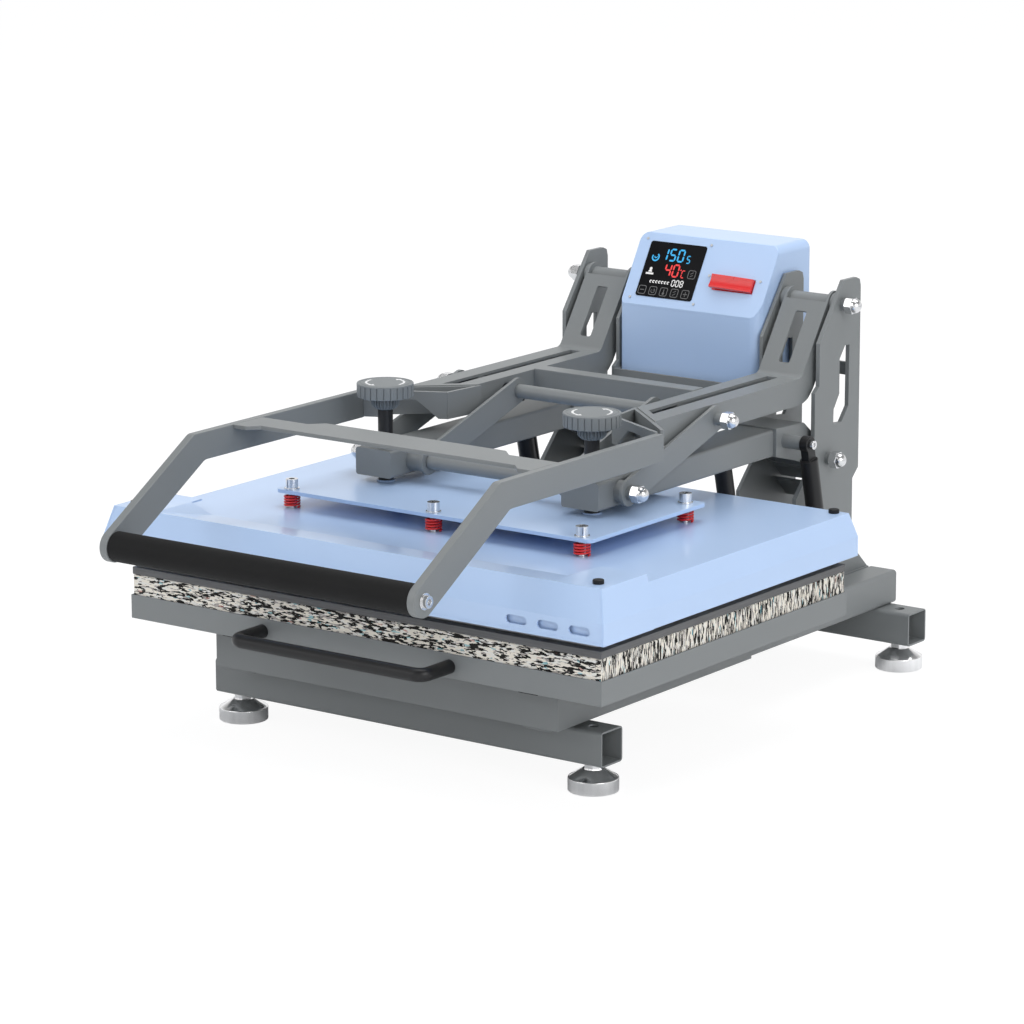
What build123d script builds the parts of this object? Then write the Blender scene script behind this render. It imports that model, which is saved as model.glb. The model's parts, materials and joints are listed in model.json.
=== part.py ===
from build123d import *
import os
from math import atan2, cos, degrees, hypot, pi, radians, sin, tan

# A large format heat press, closed, in millimetres.
# While it is drawn, x = 0 is the plane of symmetry, y = 0 the front face of the drawer tray and
# z = 0 the floor. Each finished node is then moved so that the origin lies under the middle of
# the machine.

# Platen and drawer
PLATEN_W = 600.0
PLATEN_D = 445.0
TRAY_BOTTOM = 117.5
TRAY_H = 25.5
PAD_T = 21.8
SHEET_T = 7.7
SHEET_GAP = 0.2
HEATER_T = 15.0
HEATER_INSET = 12.0
COVER_HALF = 309.3
COVER_FRONT = -11.1
COVER_REAR = 451.0
COVER_BOTTOM = 181.5
COVER_FOLD = 202.0
COVER_TOP = 227.5
COVER_DRAFT = 7.3
SHEET_METAL = 2.0

# The hood over the cover's front: its ridge, its ears and the flange that lies on the cover
CAP_HALF = 317.7
CAP_FRONT = -22.0
CAP_REAR = 63.0
CAP_BOTTOM = 185.0
CAP_FOLD = 207.0
CAP_TOP = 239.3
RIDGE_HALF = 309.0
RIDGE_FRONT = -13.0
EAR_X = 254.0
FLANGE_X = 226.0
FLANGE_REAR = 46.0
FLANGE_T = 1.7
SLOT_XS = (214.0, 251.5, 289.0)
SLOT_Z = (192.5, 201.1)

# Pressure plate, springs and adjusting screws
PLATE_HALF_W = 202.0
PLATE_FRONT = 120.0
PLATE_REAR = 328.0
PLATE_BOTTOM = 243.0
PLATE_T = 4.0
BOLT_XS = (-186.0, 0.0, 186.0)
BOLT_YS = (128.0, 312.0)
BOLT_R = 4.0
SPRING_OD = 18.0
SPRING_WIRE = 1.7
SPRING_TURNS = 3
SPRING_RISE = 2.4
SCREW_X = 133.0
SCREW_Y = 220.0
SCREW_R = 8.0
KNOB_R = 30.0
KNOB_LOW = 337.5
KNOB_HIGH = 352.0
KNOB_FLUTES = 26
NECK_R = 15.25
NECK_LOW = 324.0

# Pivots of the toggle, as (y, z)
PIVOT_A = (637.5, 405.0)
PIVOT_B = (610.5, 239.3)
PIVOT_C = (394.5, 319.5)
PIVOT_D = (236.5, 269.5)
PIN_R = 8.0
RUN_FIT = 0.05

# Layers across the width, from the middle outwards
INNER_UPRIGHT = (93.0, 97.0)
OUTER_UPRIGHT = (165.5, 170.5)
ARM_CHANNEL = (104.0, 160.0)
PRESS_ARM = (109.8, 156.2)
CHEEKS = (106.0, 160.0)
INNER_LINK = (87.0, 91.0)
OUTER_LINK = (164.5, 168.5)
BAR = (188.5, 197.5)
NUT_HEX_R = 9.8
NUT_FLAT = 8.8
NUT_CROWN_R = 8.0
NUT_COLLAR_R = 6.5

# Press arms
ARM_LOW = 254.5
ARM_HIGH = 283.9
ARM_FRONT = 198.4
ARM_END = 530.0
ARM_WALL = 3.0
CHEEK_END_R = 12.5

# Handle
HANDLE_TOP = 333.0
HANDLE_H = 29.0
HANDLE_WALL = 3.0
ELBOW = 575.0
HUB_R = 14.0
HUB_TUBE_R = 9.3
HANDLE_TILT = 56.0
WEB_DEPTH = 27.0
GRIP_Y = -146.0
GRIP_Z = 238.0
GRIP_R = 15.5
BAR_TOP = 331.0
BAR_BOTTOM = 302.0
BAR_REAR = 254.0
BAR_END_R = 16.5
BEND_R = 12.0

# Base
TUBE = 36.7
TUBE_WALL = 2.0
TUBE_LOW = 29.6
CROSS_HALF = 248.4
CROSS_FRONT = 73.15
CROSS_REAR = 656.65
RAIL_X = (172.0, 208.0)
RAIL_Y = (45.0, 697.0)
FOOT_X = 226.0
FOOT_R = 25.85
FOOT_DISC = 14.2
FOOT_CONE = 22.8
STUD_R = 5.0

# Gas springs: across, upper eye, lower eye, and how far down the cylinder reaches
GAS_OUTER = (188.0, (541.0, 269.5), (574.6, 125.0), 96.0)
GAS_INNER = (130.0, (461.0, 269.0), (514.0, 48.0), 150.0)
GAS_R = 9.75
GAS_ROD_R = 4.0

# Control box
BOX_HALF = 91.0
BOX_FRONT = 591.7
BOX_BOTTOM = 297.0
BOX_FOLD = 387.5
BOX_TOP = 461.1
BOX_SLOPE_END = 634.9
BOX_REAR = 697.9
BOX_TRAY_FRONT = 582.0

Y_MID = (GRIP_Y - BAR_END_R + CROSS_REAR + TUBE / 2 + FOOT_R) / 2

os.makedirs("parts", exist_ok=True)


# Helpers

def save(name, shapes):
    """Writes one node, its separate solids side by side."""
    solids = [solid for shape in shapes for solid in shape.solids()]
    node = Compound(children=[Pos(0, -Y_MID, 0) * solid for solid in solids])
    export_step(node, "parts/" + name + ".step")


def block(x, y, z):
    """A box between the two values of each pair."""
    centre = Pos((x[0] + x[1]) / 2, (y[0] + y[1]) / 2, (z[0] + z[1]) / 2)
    return centre * Box(x[1] - x[0], y[1] - y[0], z[1] - z[0])


def round_block(x, y, z, along, radius):
    """A box whose four edges along one axis are rounded."""
    solid = block(x, y, z)
    return fillet(solid.edges().filter_by(along), radius)


def rod_x(x, at, radius):
    """A round bar across the machine, centred on (y, z)."""
    return Pos((x[0] + x[1]) / 2, at[0], at[1]) * Rot(0, 90, 0) * Cylinder(radius, x[1] - x[0])


def rod_z(x, y, z, radius):
    """A round bar standing at x, y."""
    return Pos(x, y, (z[0] + z[1]) / 2) * Cylinder(radius, z[1] - z[0])


def hex_x(x, at, radius):
    """A hexagonal bar across the machine."""
    sketch = Plane.YZ.offset(x[0]) * Pos(at[0], at[1]) * RegularPolygon(radius, 6)
    return extrude(sketch, x[1] - x[0])


def plate_yz(points, x):
    """A flat plate seen from the side, between two values of x."""
    sketch = Plane.YZ.offset(x[0]) * Polygon(*points, align=None)
    return extrude(sketch, x[1] - x[0], dir=(1, 0, 0))


def plate_xy(points, z):
    """A flat plate seen from above, between two values of z."""
    sketch = Plane.XY.offset(z[0]) * Polygon(*points, align=None)
    return extrude(sketch, z[1] - z[0], dir=(0, 0, 1))


def plate_xz(points, y):
    """A flat plate seen from the front, between two values of y."""
    sketch = Plane.XZ.offset(-y[0]) * Polygon(*points, align=None)
    return extrude(sketch, y[1] - y[0], dir=(0, 1, 0))


def rounded_yz(points, x, corners):
    """A flat plate seen from the side, some of its corners rounded: (index, radius)."""
    sketch = Polygon(*points, align=None)
    for index, radius in corners:
        corner = sketch.vertices().sort_by_distance(Vector(*points[index], 0))[0]
        sketch = fillet([corner], radius)
    return extrude(Plane.YZ.offset(x[0]) * sketch, x[1] - x[0], dir=(1, 0, 0))


def slot_link(start, end, radius, x):
    """A link plate with round ends about two pivots."""
    run = hypot(end[0] - start[0], end[1] - start[1])
    turn = degrees(atan2(end[1] - start[1], end[0] - start[0]))
    middle = ((start[0] + end[0]) / 2, (start[1] + end[1]) / 2)
    sketch = Pos(middle[0], middle[1]) * Rot(0, 0, turn) * SlotCenterToCenter(run, 2 * radius)
    return extrude(Plane.YZ.offset(x[0]) * sketch, x[1] - x[0])


def both(solid):
    """The right piece and its mirror image on the left."""
    return [solid, mirror(solid, about=Plane.YZ)]


def along(start, end, distance):
    """A point that far from start towards end."""
    run = hypot(end[0] - start[0], end[1] - start[1])
    share = distance / run
    return (start[0] + (end[0] - start[0]) * share, start[1] + (end[1] - start[1]) * share)


def tube_between(x, start, end, radius):
    """A round bar in the plane of one x, between two points (y, z)."""
    run = hypot(end[0] - start[0], end[1] - start[1])
    lean = degrees(atan2(end[0] - start[0], end[1] - start[1]))
    middle = Pos(x, (start[0] + end[0]) / 2, (start[1] + end[1]) / 2)
    return middle * Rot(-lean, 0, 0) * Cylinder(radius, run)


# Base frame

def base_cross_tubes():
    tubes = []
    for front in (CROSS_FRONT, CROSS_REAR):
        y = (front, front + TUBE)
        z = (TUBE_LOW, TUBE_LOW + TUBE)
        outer = round_block((-CROSS_HALF, CROSS_HALF), y, z, Axis.X, 4)
        inner_y = (y[0] + TUBE_WALL, y[1] - TUBE_WALL)
        inner_z = (z[0] + TUBE_WALL, z[1] - TUBE_WALL)
        tube = outer - block((-CROSS_HALF - 1, CROSS_HALF + 1), inner_y, inner_z)
        for side in (-1, 1):
            tube -= rod_z(side * FOOT_X, front + TUBE / 2, (z[1] - 4, z[1] + 1), 5.5)
            tube -= rod_z(side * FOOT_X, front + TUBE / 2, (z[0] - 1, z[0] + 4), STUD_R + RUN_FIT)
        tubes.append(tube)
    save("base_cross_tubes", tubes)


def base_rails():
    z = (TUBE_LOW + TUBE, TUBE_LOW + 2 * TUBE)
    outer = round_block(RAIL_X, RAIL_Y, z, Axis.Y, 4)
    inner_x = (RAIL_X[0] + TUBE_WALL, RAIL_X[1] - TUBE_WALL)
    inner_z = (z[0] + TUBE_WALL, z[1] - TUBE_WALL)
    rail = outer - block(inner_x, (RAIL_Y[0] + TUBE_WALL, RAIL_Y[1] - TUBE_WALL), inner_z)
    save("base_rails", both(rail))


RAIL_TOP = TUBE_LOW + 2 * TUBE
APRON_HALF = 219.0
APRON_Y = (40.0, 389.0)
APRON_LOW = 70.0


def base_apron():
    top = block((-APRON_HALF, APRON_HALF), APRON_Y, (RAIL_TOP, RAIL_TOP + SHEET_METAL))
    front_y = (APRON_Y[0], APRON_Y[0] + SHEET_METAL)
    front = block((-APRON_HALF, APRON_HALF), front_y, (APRON_LOW, RAIL_TOP))
    apron = top + front
    for side in (-1, 1):
        edges = sorted((side * APRON_HALF, side * (APRON_HALF - SHEET_METAL)))
        apron += block(edges, APRON_Y, (APRON_LOW, RAIL_TOP))
    save("base_apron", [apron])


DECK_Y = (470.0, 697.0)


def rear_deck():
    """The plate under the uprights, with a slot for each inner gas spring."""
    deck = block((-RAIL_X[0], RAIL_X[0]), DECK_Y, (RAIL_TOP - 4, RAIL_TOP))
    for side in (-1, 1):
        x = side * GAS_INNER[0]
        deck -= block((x - 7.4, x + 7.4), (485, 530), (RAIL_TOP - 5, RAIL_TOP + 1))
    save("rear_deck", [deck])


CHANNEL_X = (176.0, 204.0)
CHANNEL_LOW = RAIL_TOP + SHEET_METAL
RUNNER_X = (178.5, 201.5)


def slide_channels():
    y = (45.0, 440.0)
    channel = block(CHANNEL_X, y, (CHANNEL_LOW, CHANNEL_LOW + 10.5))
    inside = (CHANNEL_X[0] + SHEET_METAL, CHANNEL_X[1] - SHEET_METAL)
    channel -= block(inside, (y[0] - 1, y[1] + 1), (CHANNEL_LOW + 1.5, CHANNEL_LOW + 12))
    save("slide_channels", both(channel))


UPRIGHT_OUTLINE = (
    (638.9, 431.4),
    (665.0, 431.2),
    (671.5, 428.5),
    (673.7, 421.0),
    (673.7, 218.9),
    (662.2, 208.4),
    (662.2, 134.0),
    (696.0, RAIL_TOP),
    (548.0, RAIL_TOP),
    (548.0, 205.0),
    (575.0, 233.0),
    (583.5, 243.0),
    (583.5, 315.6),
    (592.0, 321.8),
    (592.0, 368.7),
)
WINDOW_OUTLINE = (
    (643.3, 359.3),
    (652.1, 358.8),
    (651.5, 291.1),
    (637.8, 275.2),
    (621.3, 276.6),
    (621.7, 291.7),
    (632.9, 307.6),
    (632.5, 345.8),
)


def uprights():
    """The outer and inner side plates, each with a window."""
    plates = []
    for x in (OUTER_UPRIGHT, INNER_UPRIGHT):
        plate = plate_yz(UPRIGHT_OUTLINE, x)
        plate -= plate_yz(WINDOW_OUTLINE, (x[0] - 1, x[1] + 1))
        for pivot in (PIVOT_A, PIVOT_B):
            plate -= rod_x((x[0] - 1, x[1] + 1), pivot, PIN_R)
        plates += both(plate)
    save("uprights", plates)


TIE_LINES = (
    ((616.3, 224.5), (633.0, 209.0)),
    ((622.2, 206.7), (644.6, 185.8)),
    ((667.0, 336.2), (667.0, 321.7)),
)


def upright_ties():
    x = (INNER_UPRIGHT[1], OUTER_UPRIGHT[0])
    ties = []
    for start, end in TIE_LINES:
        run = hypot(end[0] - start[0], end[1] - start[1])
        turn = degrees(atan2(end[1] - start[1], end[0] - start[0]))
        middle = ((start[0] + end[0]) / 2, (start[1] + end[1]) / 2)
        sketch = Pos(middle[0], middle[1]) * Rot(0, 0, turn) * Rectangle(run, 4)
        ties += both(extrude(Plane.YZ.offset(x[0]) * sketch, x[1] - x[0]))
    save("upright_ties", ties)


def acorn_nut(base, pivot):
    """A domed nut whose flat end is at base."""
    flat_end = base + NUT_FLAT
    nut = hex_x((base, flat_end), pivot, NUT_HEX_R)
    bevel = Pos((base + flat_end) / 2, pivot[0], pivot[1]) * Rot(0, 90, 0)
    nut &= bevel * fillet(Cylinder(NUT_HEX_R, NUT_FLAT).edges(), 1.2)
    return nut + Pos(flat_end, pivot[0], pivot[1]) * Sphere(NUT_CROWN_R)


def pivot_bolts():
    """Bolts through both uprights, each with a low head inside and a domed nut outside."""
    bolts = []
    for pivot in (PIVOT_A, PIVOT_B):
        head = rod_x((INNER_UPRIGHT[0] - 1.8, INNER_UPRIGHT[0]), pivot, 11)
        shank = rod_x((INNER_UPRIGHT[0], OUTER_UPRIGHT[1]), pivot, PIN_R)
        base = OUTER_UPRIGHT[1] + 5.9
        collar = rod_x((OUTER_UPRIGHT[1], base), pivot, NUT_COLLAR_R)
        bolts += both(head + shank + collar + acorn_nut(base, pivot))
    save("pivot_bolts", bolts)


def gas_brackets():
    """Pairs of ears that hold the lower pins of the gas springs."""
    pieces = []
    for spec, root in ((GAS_OUTER, RAIL_TOP), (GAS_INNER, RAIL_TOP - 4)):
        x = spec[0]
        low = spec[2]
        for edge in (-1, 1):
            ear_x = sorted((x + edge * 7.5, x + edge * 10.5))
            ear = block(ear_x, (low[0] - 12, low[0] + 12), sorted((root, low[1])))
            ear += rod_x(ear_x, low, 12)
            ear -= rod_x((ear_x[0] - 1, ear_x[1] + 1), low, 5.5)
            pieces += both(ear)
    save("gas_brackets", pieces)


# Control box

def box_tray():
    half = INNER_UPRIGHT[0]
    y = (BOX_TRAY_FRONT, BOX_REAR)
    low = BOX_BOTTOM - SHEET_METAL
    tray = block((-half, half), y, (low, low + 19))
    inner_y = (y[0] + SHEET_METAL, y[1] - SHEET_METAL)
    tray -= block((-half + SHEET_METAL, half - SHEET_METAL), inner_y, (BOX_BOTTOM, low + 20))
    save("box_tray", [tray])


SHELL_REAR = BOX_REAR - 3.5
SLOPE = atan2(BOX_TOP - BOX_FOLD, BOX_SLOPE_END - BOX_FRONT)
SLOPE_RUN = hypot(BOX_TOP - BOX_FOLD, BOX_SLOPE_END - BOX_FRONT)
FACE_T = 1.5
FACE_NORMAL = Axis((0, 0, 0), (0, -sin(SLOPE), cos(SLOPE)))


def on_face(x, up, out):
    """A plane on the sloping face: x across, up along the slope, out off the face."""
    y = BOX_FRONT + up * cos(SLOPE) - out * sin(SLOPE)
    z = BOX_FOLD + up * sin(SLOPE) + out * cos(SLOPE)
    return Plane(origin=(x, y, z), x_dir=(1, 0, 0), z_dir=(0, -sin(SLOPE), cos(SLOPE)))


def slope_z(y, depth):
    """Height at y of the plane that lies that deep below the face."""
    return BOX_FOLD + (y - BOX_FRONT) * tan(SLOPE) - depth / cos(SLOPE)


def slope_y(z, depth):
    """The y at one height of the plane that lies that deep below the face."""
    return BOX_FRONT + (z - BOX_FOLD + depth / cos(SLOPE)) / tan(SLOPE)


def box_volume(inset, depth):
    """The box drawn in by the wall, its face that deep below the plate's outer side."""
    half = BOX_HALF - inset
    front = BOX_FRONT + inset
    back = SHELL_REAR - inset
    top = BOX_TOP - inset
    outline = (
        (front, BOX_BOTTOM),
        (front, slope_z(front, depth)),
        (slope_y(top, depth), top),
        (back, top),
        (back, BOX_BOTTOM),
    )
    side_view = plate_yz(outline, (-half, half))
    whole = block((-half, half), (front, back), (BOX_BOTTOM - 1, top))
    front_edges = whole.edges().filter_by(Axis.Z).group_by(Axis.Y)[0].sort_by(Axis.X)
    plan = fillet(front_edges[:1], BOX_CORNER_LEFT - inset)
    front_edges = plan.edges().filter_by(Axis.Z).group_by(Axis.Y)[0].sort_by(Axis.X)
    plan = fillet(front_edges[-1:], BOX_CORNER_RIGHT - inset)
    top_view = fillet(whole.edges().filter_by(Axis.Y).group_by(Axis.Z)[-1], 10 - inset)
    return side_view & plan & top_view


BOX_CORNER_LEFT = 4.0
BOX_CORNER_RIGHT = 12.0


def behind_face(depth):
    """Everything in front of the plane that lies that deep below the face."""
    return on_face(0, SLOPE_RUN / 2, 50 - depth) * Box(400, 400, 100)


def face_openings():
    switch = on_face(SWITCH_X, SWITCH_UP, 0) * Box(SWITCH_OPENING[0], SWITCH_OPENING[1], 30)
    return switch + on_face(DISPLAY_X, DISPLAY_UP, 0) * Box(60, 52, 30)


def box_shell():
    shell = box_volume(0, 0) - behind_face(FACE_T)
    shell -= Pos(0, 0, -0.01) * box_volume(SHEET_METAL, FACE_T + SHEET_METAL)
    shell -= block((-87, 87), (BOX_FRONT + 4, SHELL_REAR - 4), (BOX_BOTTOM - 1, BOX_BOTTOM + 1))
    back = (SHELL_REAR - 3, SHELL_REAR + 1)
    shell -= block((-24.0, 24.0), back, (INLET_Z - 13.5, INLET_Z + 13.5))
    save("box_shell", [shell - face_openings()])


DISPLAY_X = -37.5
DISPLAY_UP = 42.7
DISPLAY_W = 74.5
DISPLAY_H = 65.5
SWITCH_X = 46.8
SWITCH_UP = 35.2
SWITCH_OPENING = (53.0, 16.4)
INLET_Z = 340.0


def box_panel():
    """The face plate over the slope."""
    save("box_panel", [(box_volume(0, 0) & behind_face(FACE_T)) - face_openings()])


def display_glass():
    glass = on_face(DISPLAY_X, DISPLAY_UP, 0.4) * Box(DISPLAY_W, DISPLAY_H, 0.8)
    save("display_glass", [fillet(glass.edges().filter_by(FACE_NORMAL), 3)])


PANEL_SCREWS = (
    (-80.5, 7.3),
    (4.0, 7.3),
    (-80.5, 77.6),
    (4.0, 77.6),
    (13.0, 42.4),
    (80.0, 42.4),
)


def panel_screws():
    screws = []
    for x, up in PANEL_SCREWS:
        screws.append(on_face(x, up, 0.5) * Cylinder(1.6, 1.0))
    save("panel_screws", screws)


SWITCH_W = 52.0
SWITCH_H = 15.3
ROCKER_DEPTH = 5.0
ROCKER_PIN_R = 2.0
ROCKER_HOLLOW_R = 18.0
ROCKER_HOLLOW = 0.8


def rocker_pin(radius, half):
    """The pin that the rocker turns on, along the slope."""
    axis = on_face(SWITCH_X, SWITCH_UP, -ROCKER_DEPTH)
    return axis * Rot(90, 0, 0) * Cylinder(radius, 2 * half)


def switch_well():
    """The well behind the face, with a hole each side for the rocker's pin."""
    outside = (SWITCH_OPENING[0] - 0.1, SWITCH_OPENING[1] - 0.1)
    well = on_face(SWITCH_X, SWITCH_UP, -11) * Box(outside[0], outside[1], 20)
    well -= on_face(SWITCH_X, SWITCH_UP, -8.5) * Box(46, 12, 20)
    well -= rocker_pin(ROCKER_PIN_R + RUN_FIT, 7.2)
    save("switch_well", [well])


def rocker_hollow(start, end):
    """A shallow hollow along one half of the paddle's face, for the finger."""
    middle = (start + end) / 2
    slope = degrees(atan2(end.Y - start.Y, end.X - start.X))
    above = Pos(middle.X, middle.Y) * Rot(0, 0, slope) * Pos(0, ROCKER_HOLLOW_R - ROCKER_HOLLOW)
    return above * Rot(0, 90, 0) * Cylinder(ROCKER_HOLLOW_R, SWITCH_W * 0.8)


def switch_rocker():
    """The rocker, a wide paddle whose left end stands out, on a stem with a pin in the well."""
    half = SWITCH_W / 2
    lower = ((-half, 9.4), (0, 7.0), (half, 5.6))
    upper = ((half, 9.2), (0, 11.6), (-half, 13.2))
    stem = ((-19, -5), (19, -5), (19, 6.5), (0, 8.0), (-19, 9.2))
    axis = on_face(SWITCH_X, SWITCH_UP, -ROCKER_DEPTH)
    lengthwise = Plane(origin=axis.origin, x_dir=(1, 0, 0), z_dir=-axis.y_dir)
    paddle = make_face(Polyline(*lower, *upper, close=True))
    rocker = extrude(lengthwise * paddle, SWITCH_H / 2, both=True)
    rocker += extrude(lengthwise * make_face(Polyline(*stem, close=True)), 5.5, both=True)
    rocker += rocker_pin(ROCKER_PIN_R, 7)
    for start, end in zip(upper[:0:-1], upper[1::-1]):
        rocker -= lengthwise.location * rocker_hollow(Vector(*start), Vector(*end))
    save("switch_rocker", [rocker])


def controller_board():
    board = on_face(-8, 42, -22) * Box(150, 60, 1.6)
    board += on_face(-38, 42, -16) * Box(56, 48, 10.5)
    board += on_face(40, 20, -30) * Box(40, 18, 14.5)
    save("controller_board", [board])


def power_inlet():
    """A mains inlet in the rear wall, its flange flush with the tray's rear edge."""
    flange_y = (SHELL_REAR, BOX_REAR - 0.5)
    flange = round_block((-30, 30), flange_y, (INLET_Z - 16, INLET_Z + 16), Axis.Y, 4)
    body = block((-23.8, 23.8), (SHELL_REAR - 22, SHELL_REAR), (INLET_Z - 13.3, INLET_Z + 13.3))
    socket = block((-12, 12), (SHELL_REAR - 16, BOX_REAR), (INLET_Z - 8, INLET_Z + 8))
    inlet = flange + body - socket
    for x in (-7.0, 0.0, 7.0):
        lift = 2.0 if x == 0.0 else -1.5
        z = INLET_Z + lift
        inlet += block((x - 1, x + 1), (SHELL_REAR - 17, SHELL_REAR - 2), (z - 2, z + 2))
    save("power_inlet", [inlet])


# Handle

HANDLE_LOW = HANDLE_TOP - HANDLE_H
WEB_UP = (cos(radians(HANDLE_TILT)), sin(radians(HANDLE_TILT)))
WEB_OUT = (-WEB_UP[1], WEB_UP[0])


def web_point(distance, out):
    """A point on the slanting end of the arm, measured from the upper pivot."""
    y = PIVOT_A[0] - distance * WEB_UP[0] + out * WEB_OUT[0]
    z = PIVOT_A[1] - distance * WEB_UP[1] + out * WEB_OUT[1]
    return (y, z)


def elbow(wall):
    """Where the level top meets the slanting end, drawn in by the wall."""
    upper = web_point(0, HUB_R - wall)
    reach = (upper[1] - HANDLE_TOP + wall) / WEB_UP[1]
    return (upper[0] - reach * WEB_UP[0], HANDLE_TOP - wall)


def arm_solid():
    """One arm's outside, seen from the side, with a rounded elbow and heel."""
    outline = (
        (294.0, HANDLE_LOW),
        (294.0, HANDLE_TOP),
        elbow(0),
        web_point(0, HUB_R),
        web_point(0, -HUB_R),
        web_point(96.0, -HUB_R),
        (585.0, HANDLE_LOW + 4),
        (572.0, HANDLE_LOW),
    )
    arm = rounded_yz(outline, ARM_CHANNEL, ((2, 10), (5, 20), (6, 20), (7, 20)))
    return arm + rod_x(ARM_CHANNEL, PIVOT_A, HUB_R)


def arm_hollow():
    """The space inside one arm, open below, at the front and between the ears at the pivot."""
    x = (ARM_CHANNEL[0] + HANDLE_WALL, ARM_CHANNEL[1] - HANDLE_WALL)
    beyond = HUB_R + 3
    outline = (
        (280.0, HANDLE_LOW - 3),
        (280.0, HANDLE_TOP - HANDLE_WALL),
        elbow(HANDLE_WALL),
        web_point(0, HUB_R - HANDLE_WALL),
        web_point(0, -beyond),
        web_point(99.0, -beyond),
        (589.0, HANDLE_LOW - 3),
    )
    ears = (
        web_point(EAR_LENGTH, beyond),
        web_point(-beyond, beyond),
        web_point(-beyond, -beyond),
        web_point(EAR_LENGTH, -beyond),
    )
    return rounded_yz(outline, x, ((2, 10 + HANDLE_WALL),)) + plate_yz(ears, x)


EAR_LENGTH = 5.0
ARM_FRONT_CUT = ((103.0, 343.4), (161.0, 293.1))
WEB_SLOT = (131.5, 49.6, 14.0, 61.6)


def handle_arms():
    x0, x1 = ARM_CHANNEL
    arm = arm_solid() - arm_hollow()
    arm += rod_x(ARM_CHANNEL, PIVOT_A, HUB_TUBE_R)
    arm += rod_x(ARM_CHANNEL, PIVOT_C, 11)
    cut = (ARM_FRONT_CUT[0], (103.0, 280.0), (161.0, 280.0), ARM_FRONT_CUT[1])
    arm -= plate_xy(cut, (HANDLE_LOW - 1, HANDLE_TOP + 1))
    slot = ((123, 336), (137, 324), (137, 561), (123, 561))
    arm -= plate_xy(slot, (HANDLE_TOP - 8, HANDLE_TOP + 1))
    slot_x, distance, width, length = WEB_SLOT
    across = Plane(
        origin=(slot_x, *web_point(distance, HUB_R)),
        x_dir=(1, 0, 0),
        z_dir=(0, WEB_OUT[0], WEB_OUT[1]),
    )
    opening = Box(width, length, 8)
    arm -= across * fillet(opening.edges().filter_by(Axis.Z), 2.5)
    arm -= rod_x((x0 - 1, x1 + 1), PIVOT_A, PIN_R + RUN_FIT)
    arm -= rod_x((x0 - 1, x1 + 1), PIVOT_C, 7)
    save("handle_arms", both(arm))


def handle_bushes():
    """Spacers between the arms and the uprights."""
    bushes = []
    for x in ((INNER_UPRIGHT[1] + 0.3, ARM_CHANNEL[0]), (ARM_CHANNEL[1], OUTER_UPRIGHT[0] - 0.3)):
        bush = rod_x(x, PIVOT_A, 12.5) - rod_x((x[0] - 1, x[1] + 1), PIVOT_A, PIN_R + RUN_FIT)
        bushes += both(bush)
    save("handle_bushes", bushes)


def cross_beam():
    """An upturned channel between the arms."""
    x = ARM_CHANNEL[0]
    beam = block((-x, x), (446, 466), (309, HANDLE_TOP + 1))
    beam -= block((-x - 1, x + 1), (446 + 2.5, 466 - 2.5), (308, HANDLE_TOP - 1.5))
    save("cross_beam", [beam])


GUSSET_T = 4.0
KNOB_RELIEF = 323.0


def strip(start, end, z):
    """A vertical strip of sheet between two points seen from above."""
    run = hypot(end[0] - start[0], end[1] - start[1])
    turn = degrees(atan2(end[1] - start[1], end[0] - start[0]))
    middle = ((start[0] + end[0]) / 2, (start[1] + end[1]) / 2)
    sketch = Pos(middle[0], middle[1]) * Rot(0, 0, turn) * Rectangle(run, GUSSET_T)
    return extrude(Plane.XY.offset(z[0]) * sketch, z[1] - z[0])


def handle_gussets():
    """The two bent plates that join each arm to its bar, the inner one cut away over the knob."""
    z = (BAR_BOTTOM + 1, BAR_TOP + 1)
    inner = strip((189, 254.5), (108.3, 295), z)
    relief = (
        (114.5, z[0] - 1),
        (126.0, KNOB_RELIEF - 10),
        (137.0, KNOB_RELIEF),
        (160.0, KNOB_RELIEF),
        (175.0, z[0] - 1),
    )
    inner -= plate_xz(relief, (240, 310))
    inner += strip((108.3, 293.4), (101.8, 345), z)
    outer = strip((104, 339.7), (160, 291.1), z) + strip((159, 292), (188, 266), z)
    clear = block((BAR[0], 230), (200, 300), (HANDLE_LOW - 5, HANDLE_TOP + 5))
    inside_arm = ((104.0, 342.53), (161.0, 293.1), (161.0, 420.0), (104.0, 420.0))
    gusset = inner + outer - clear
    gusset -= plate_xy(inside_arm, (HANDLE_LOW - 5, HANDLE_TOP + 5))
    save("handle_gussets", both(gusset))


def bar_outline():
    """Side view of a bar: level, then down to the grip."""
    lean = atan2(BAR_TOP - 238 - 14.1, 130.5)
    normal = (-sin(lean) * BAR_END_R, cos(lean) * BAR_END_R)
    return (
        (BAR_REAR, BAR_BOTTOM),
        (BAR_REAR, BAR_TOP),
        (-24.0, BAR_TOP),
        (GRIP_Y + normal[0], GRIP_Z + normal[1]),
        (GRIP_Y - normal[0], GRIP_Z - normal[1]),
        (-8.0, BAR_BOTTOM),
    )


def handle_bars():
    bar = rounded_yz(bar_outline(), BAR, ((2, BEND_R), (5, BEND_R)))
    bar += rod_x(BAR, (GRIP_Y, GRIP_Z), BAR_END_R)
    save("handle_bars", both(bar))


def bridge_plate():
    x = BAR[0]
    z = (BAR_TOP - 4.2, BAR_TOP)
    front = ((0, 48.8), (161, 48.8), (172, 37.5), (x, 37.5))
    rear = ((x, 84), (128.5, 84), (114.4, 98), (0, 98))
    half = front + rear
    other = tuple((-px, py) for px, py in reversed(half[1:-1]))
    plate = plate_xy(half + other, z)
    save("bridge_plate", [plate])


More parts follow.
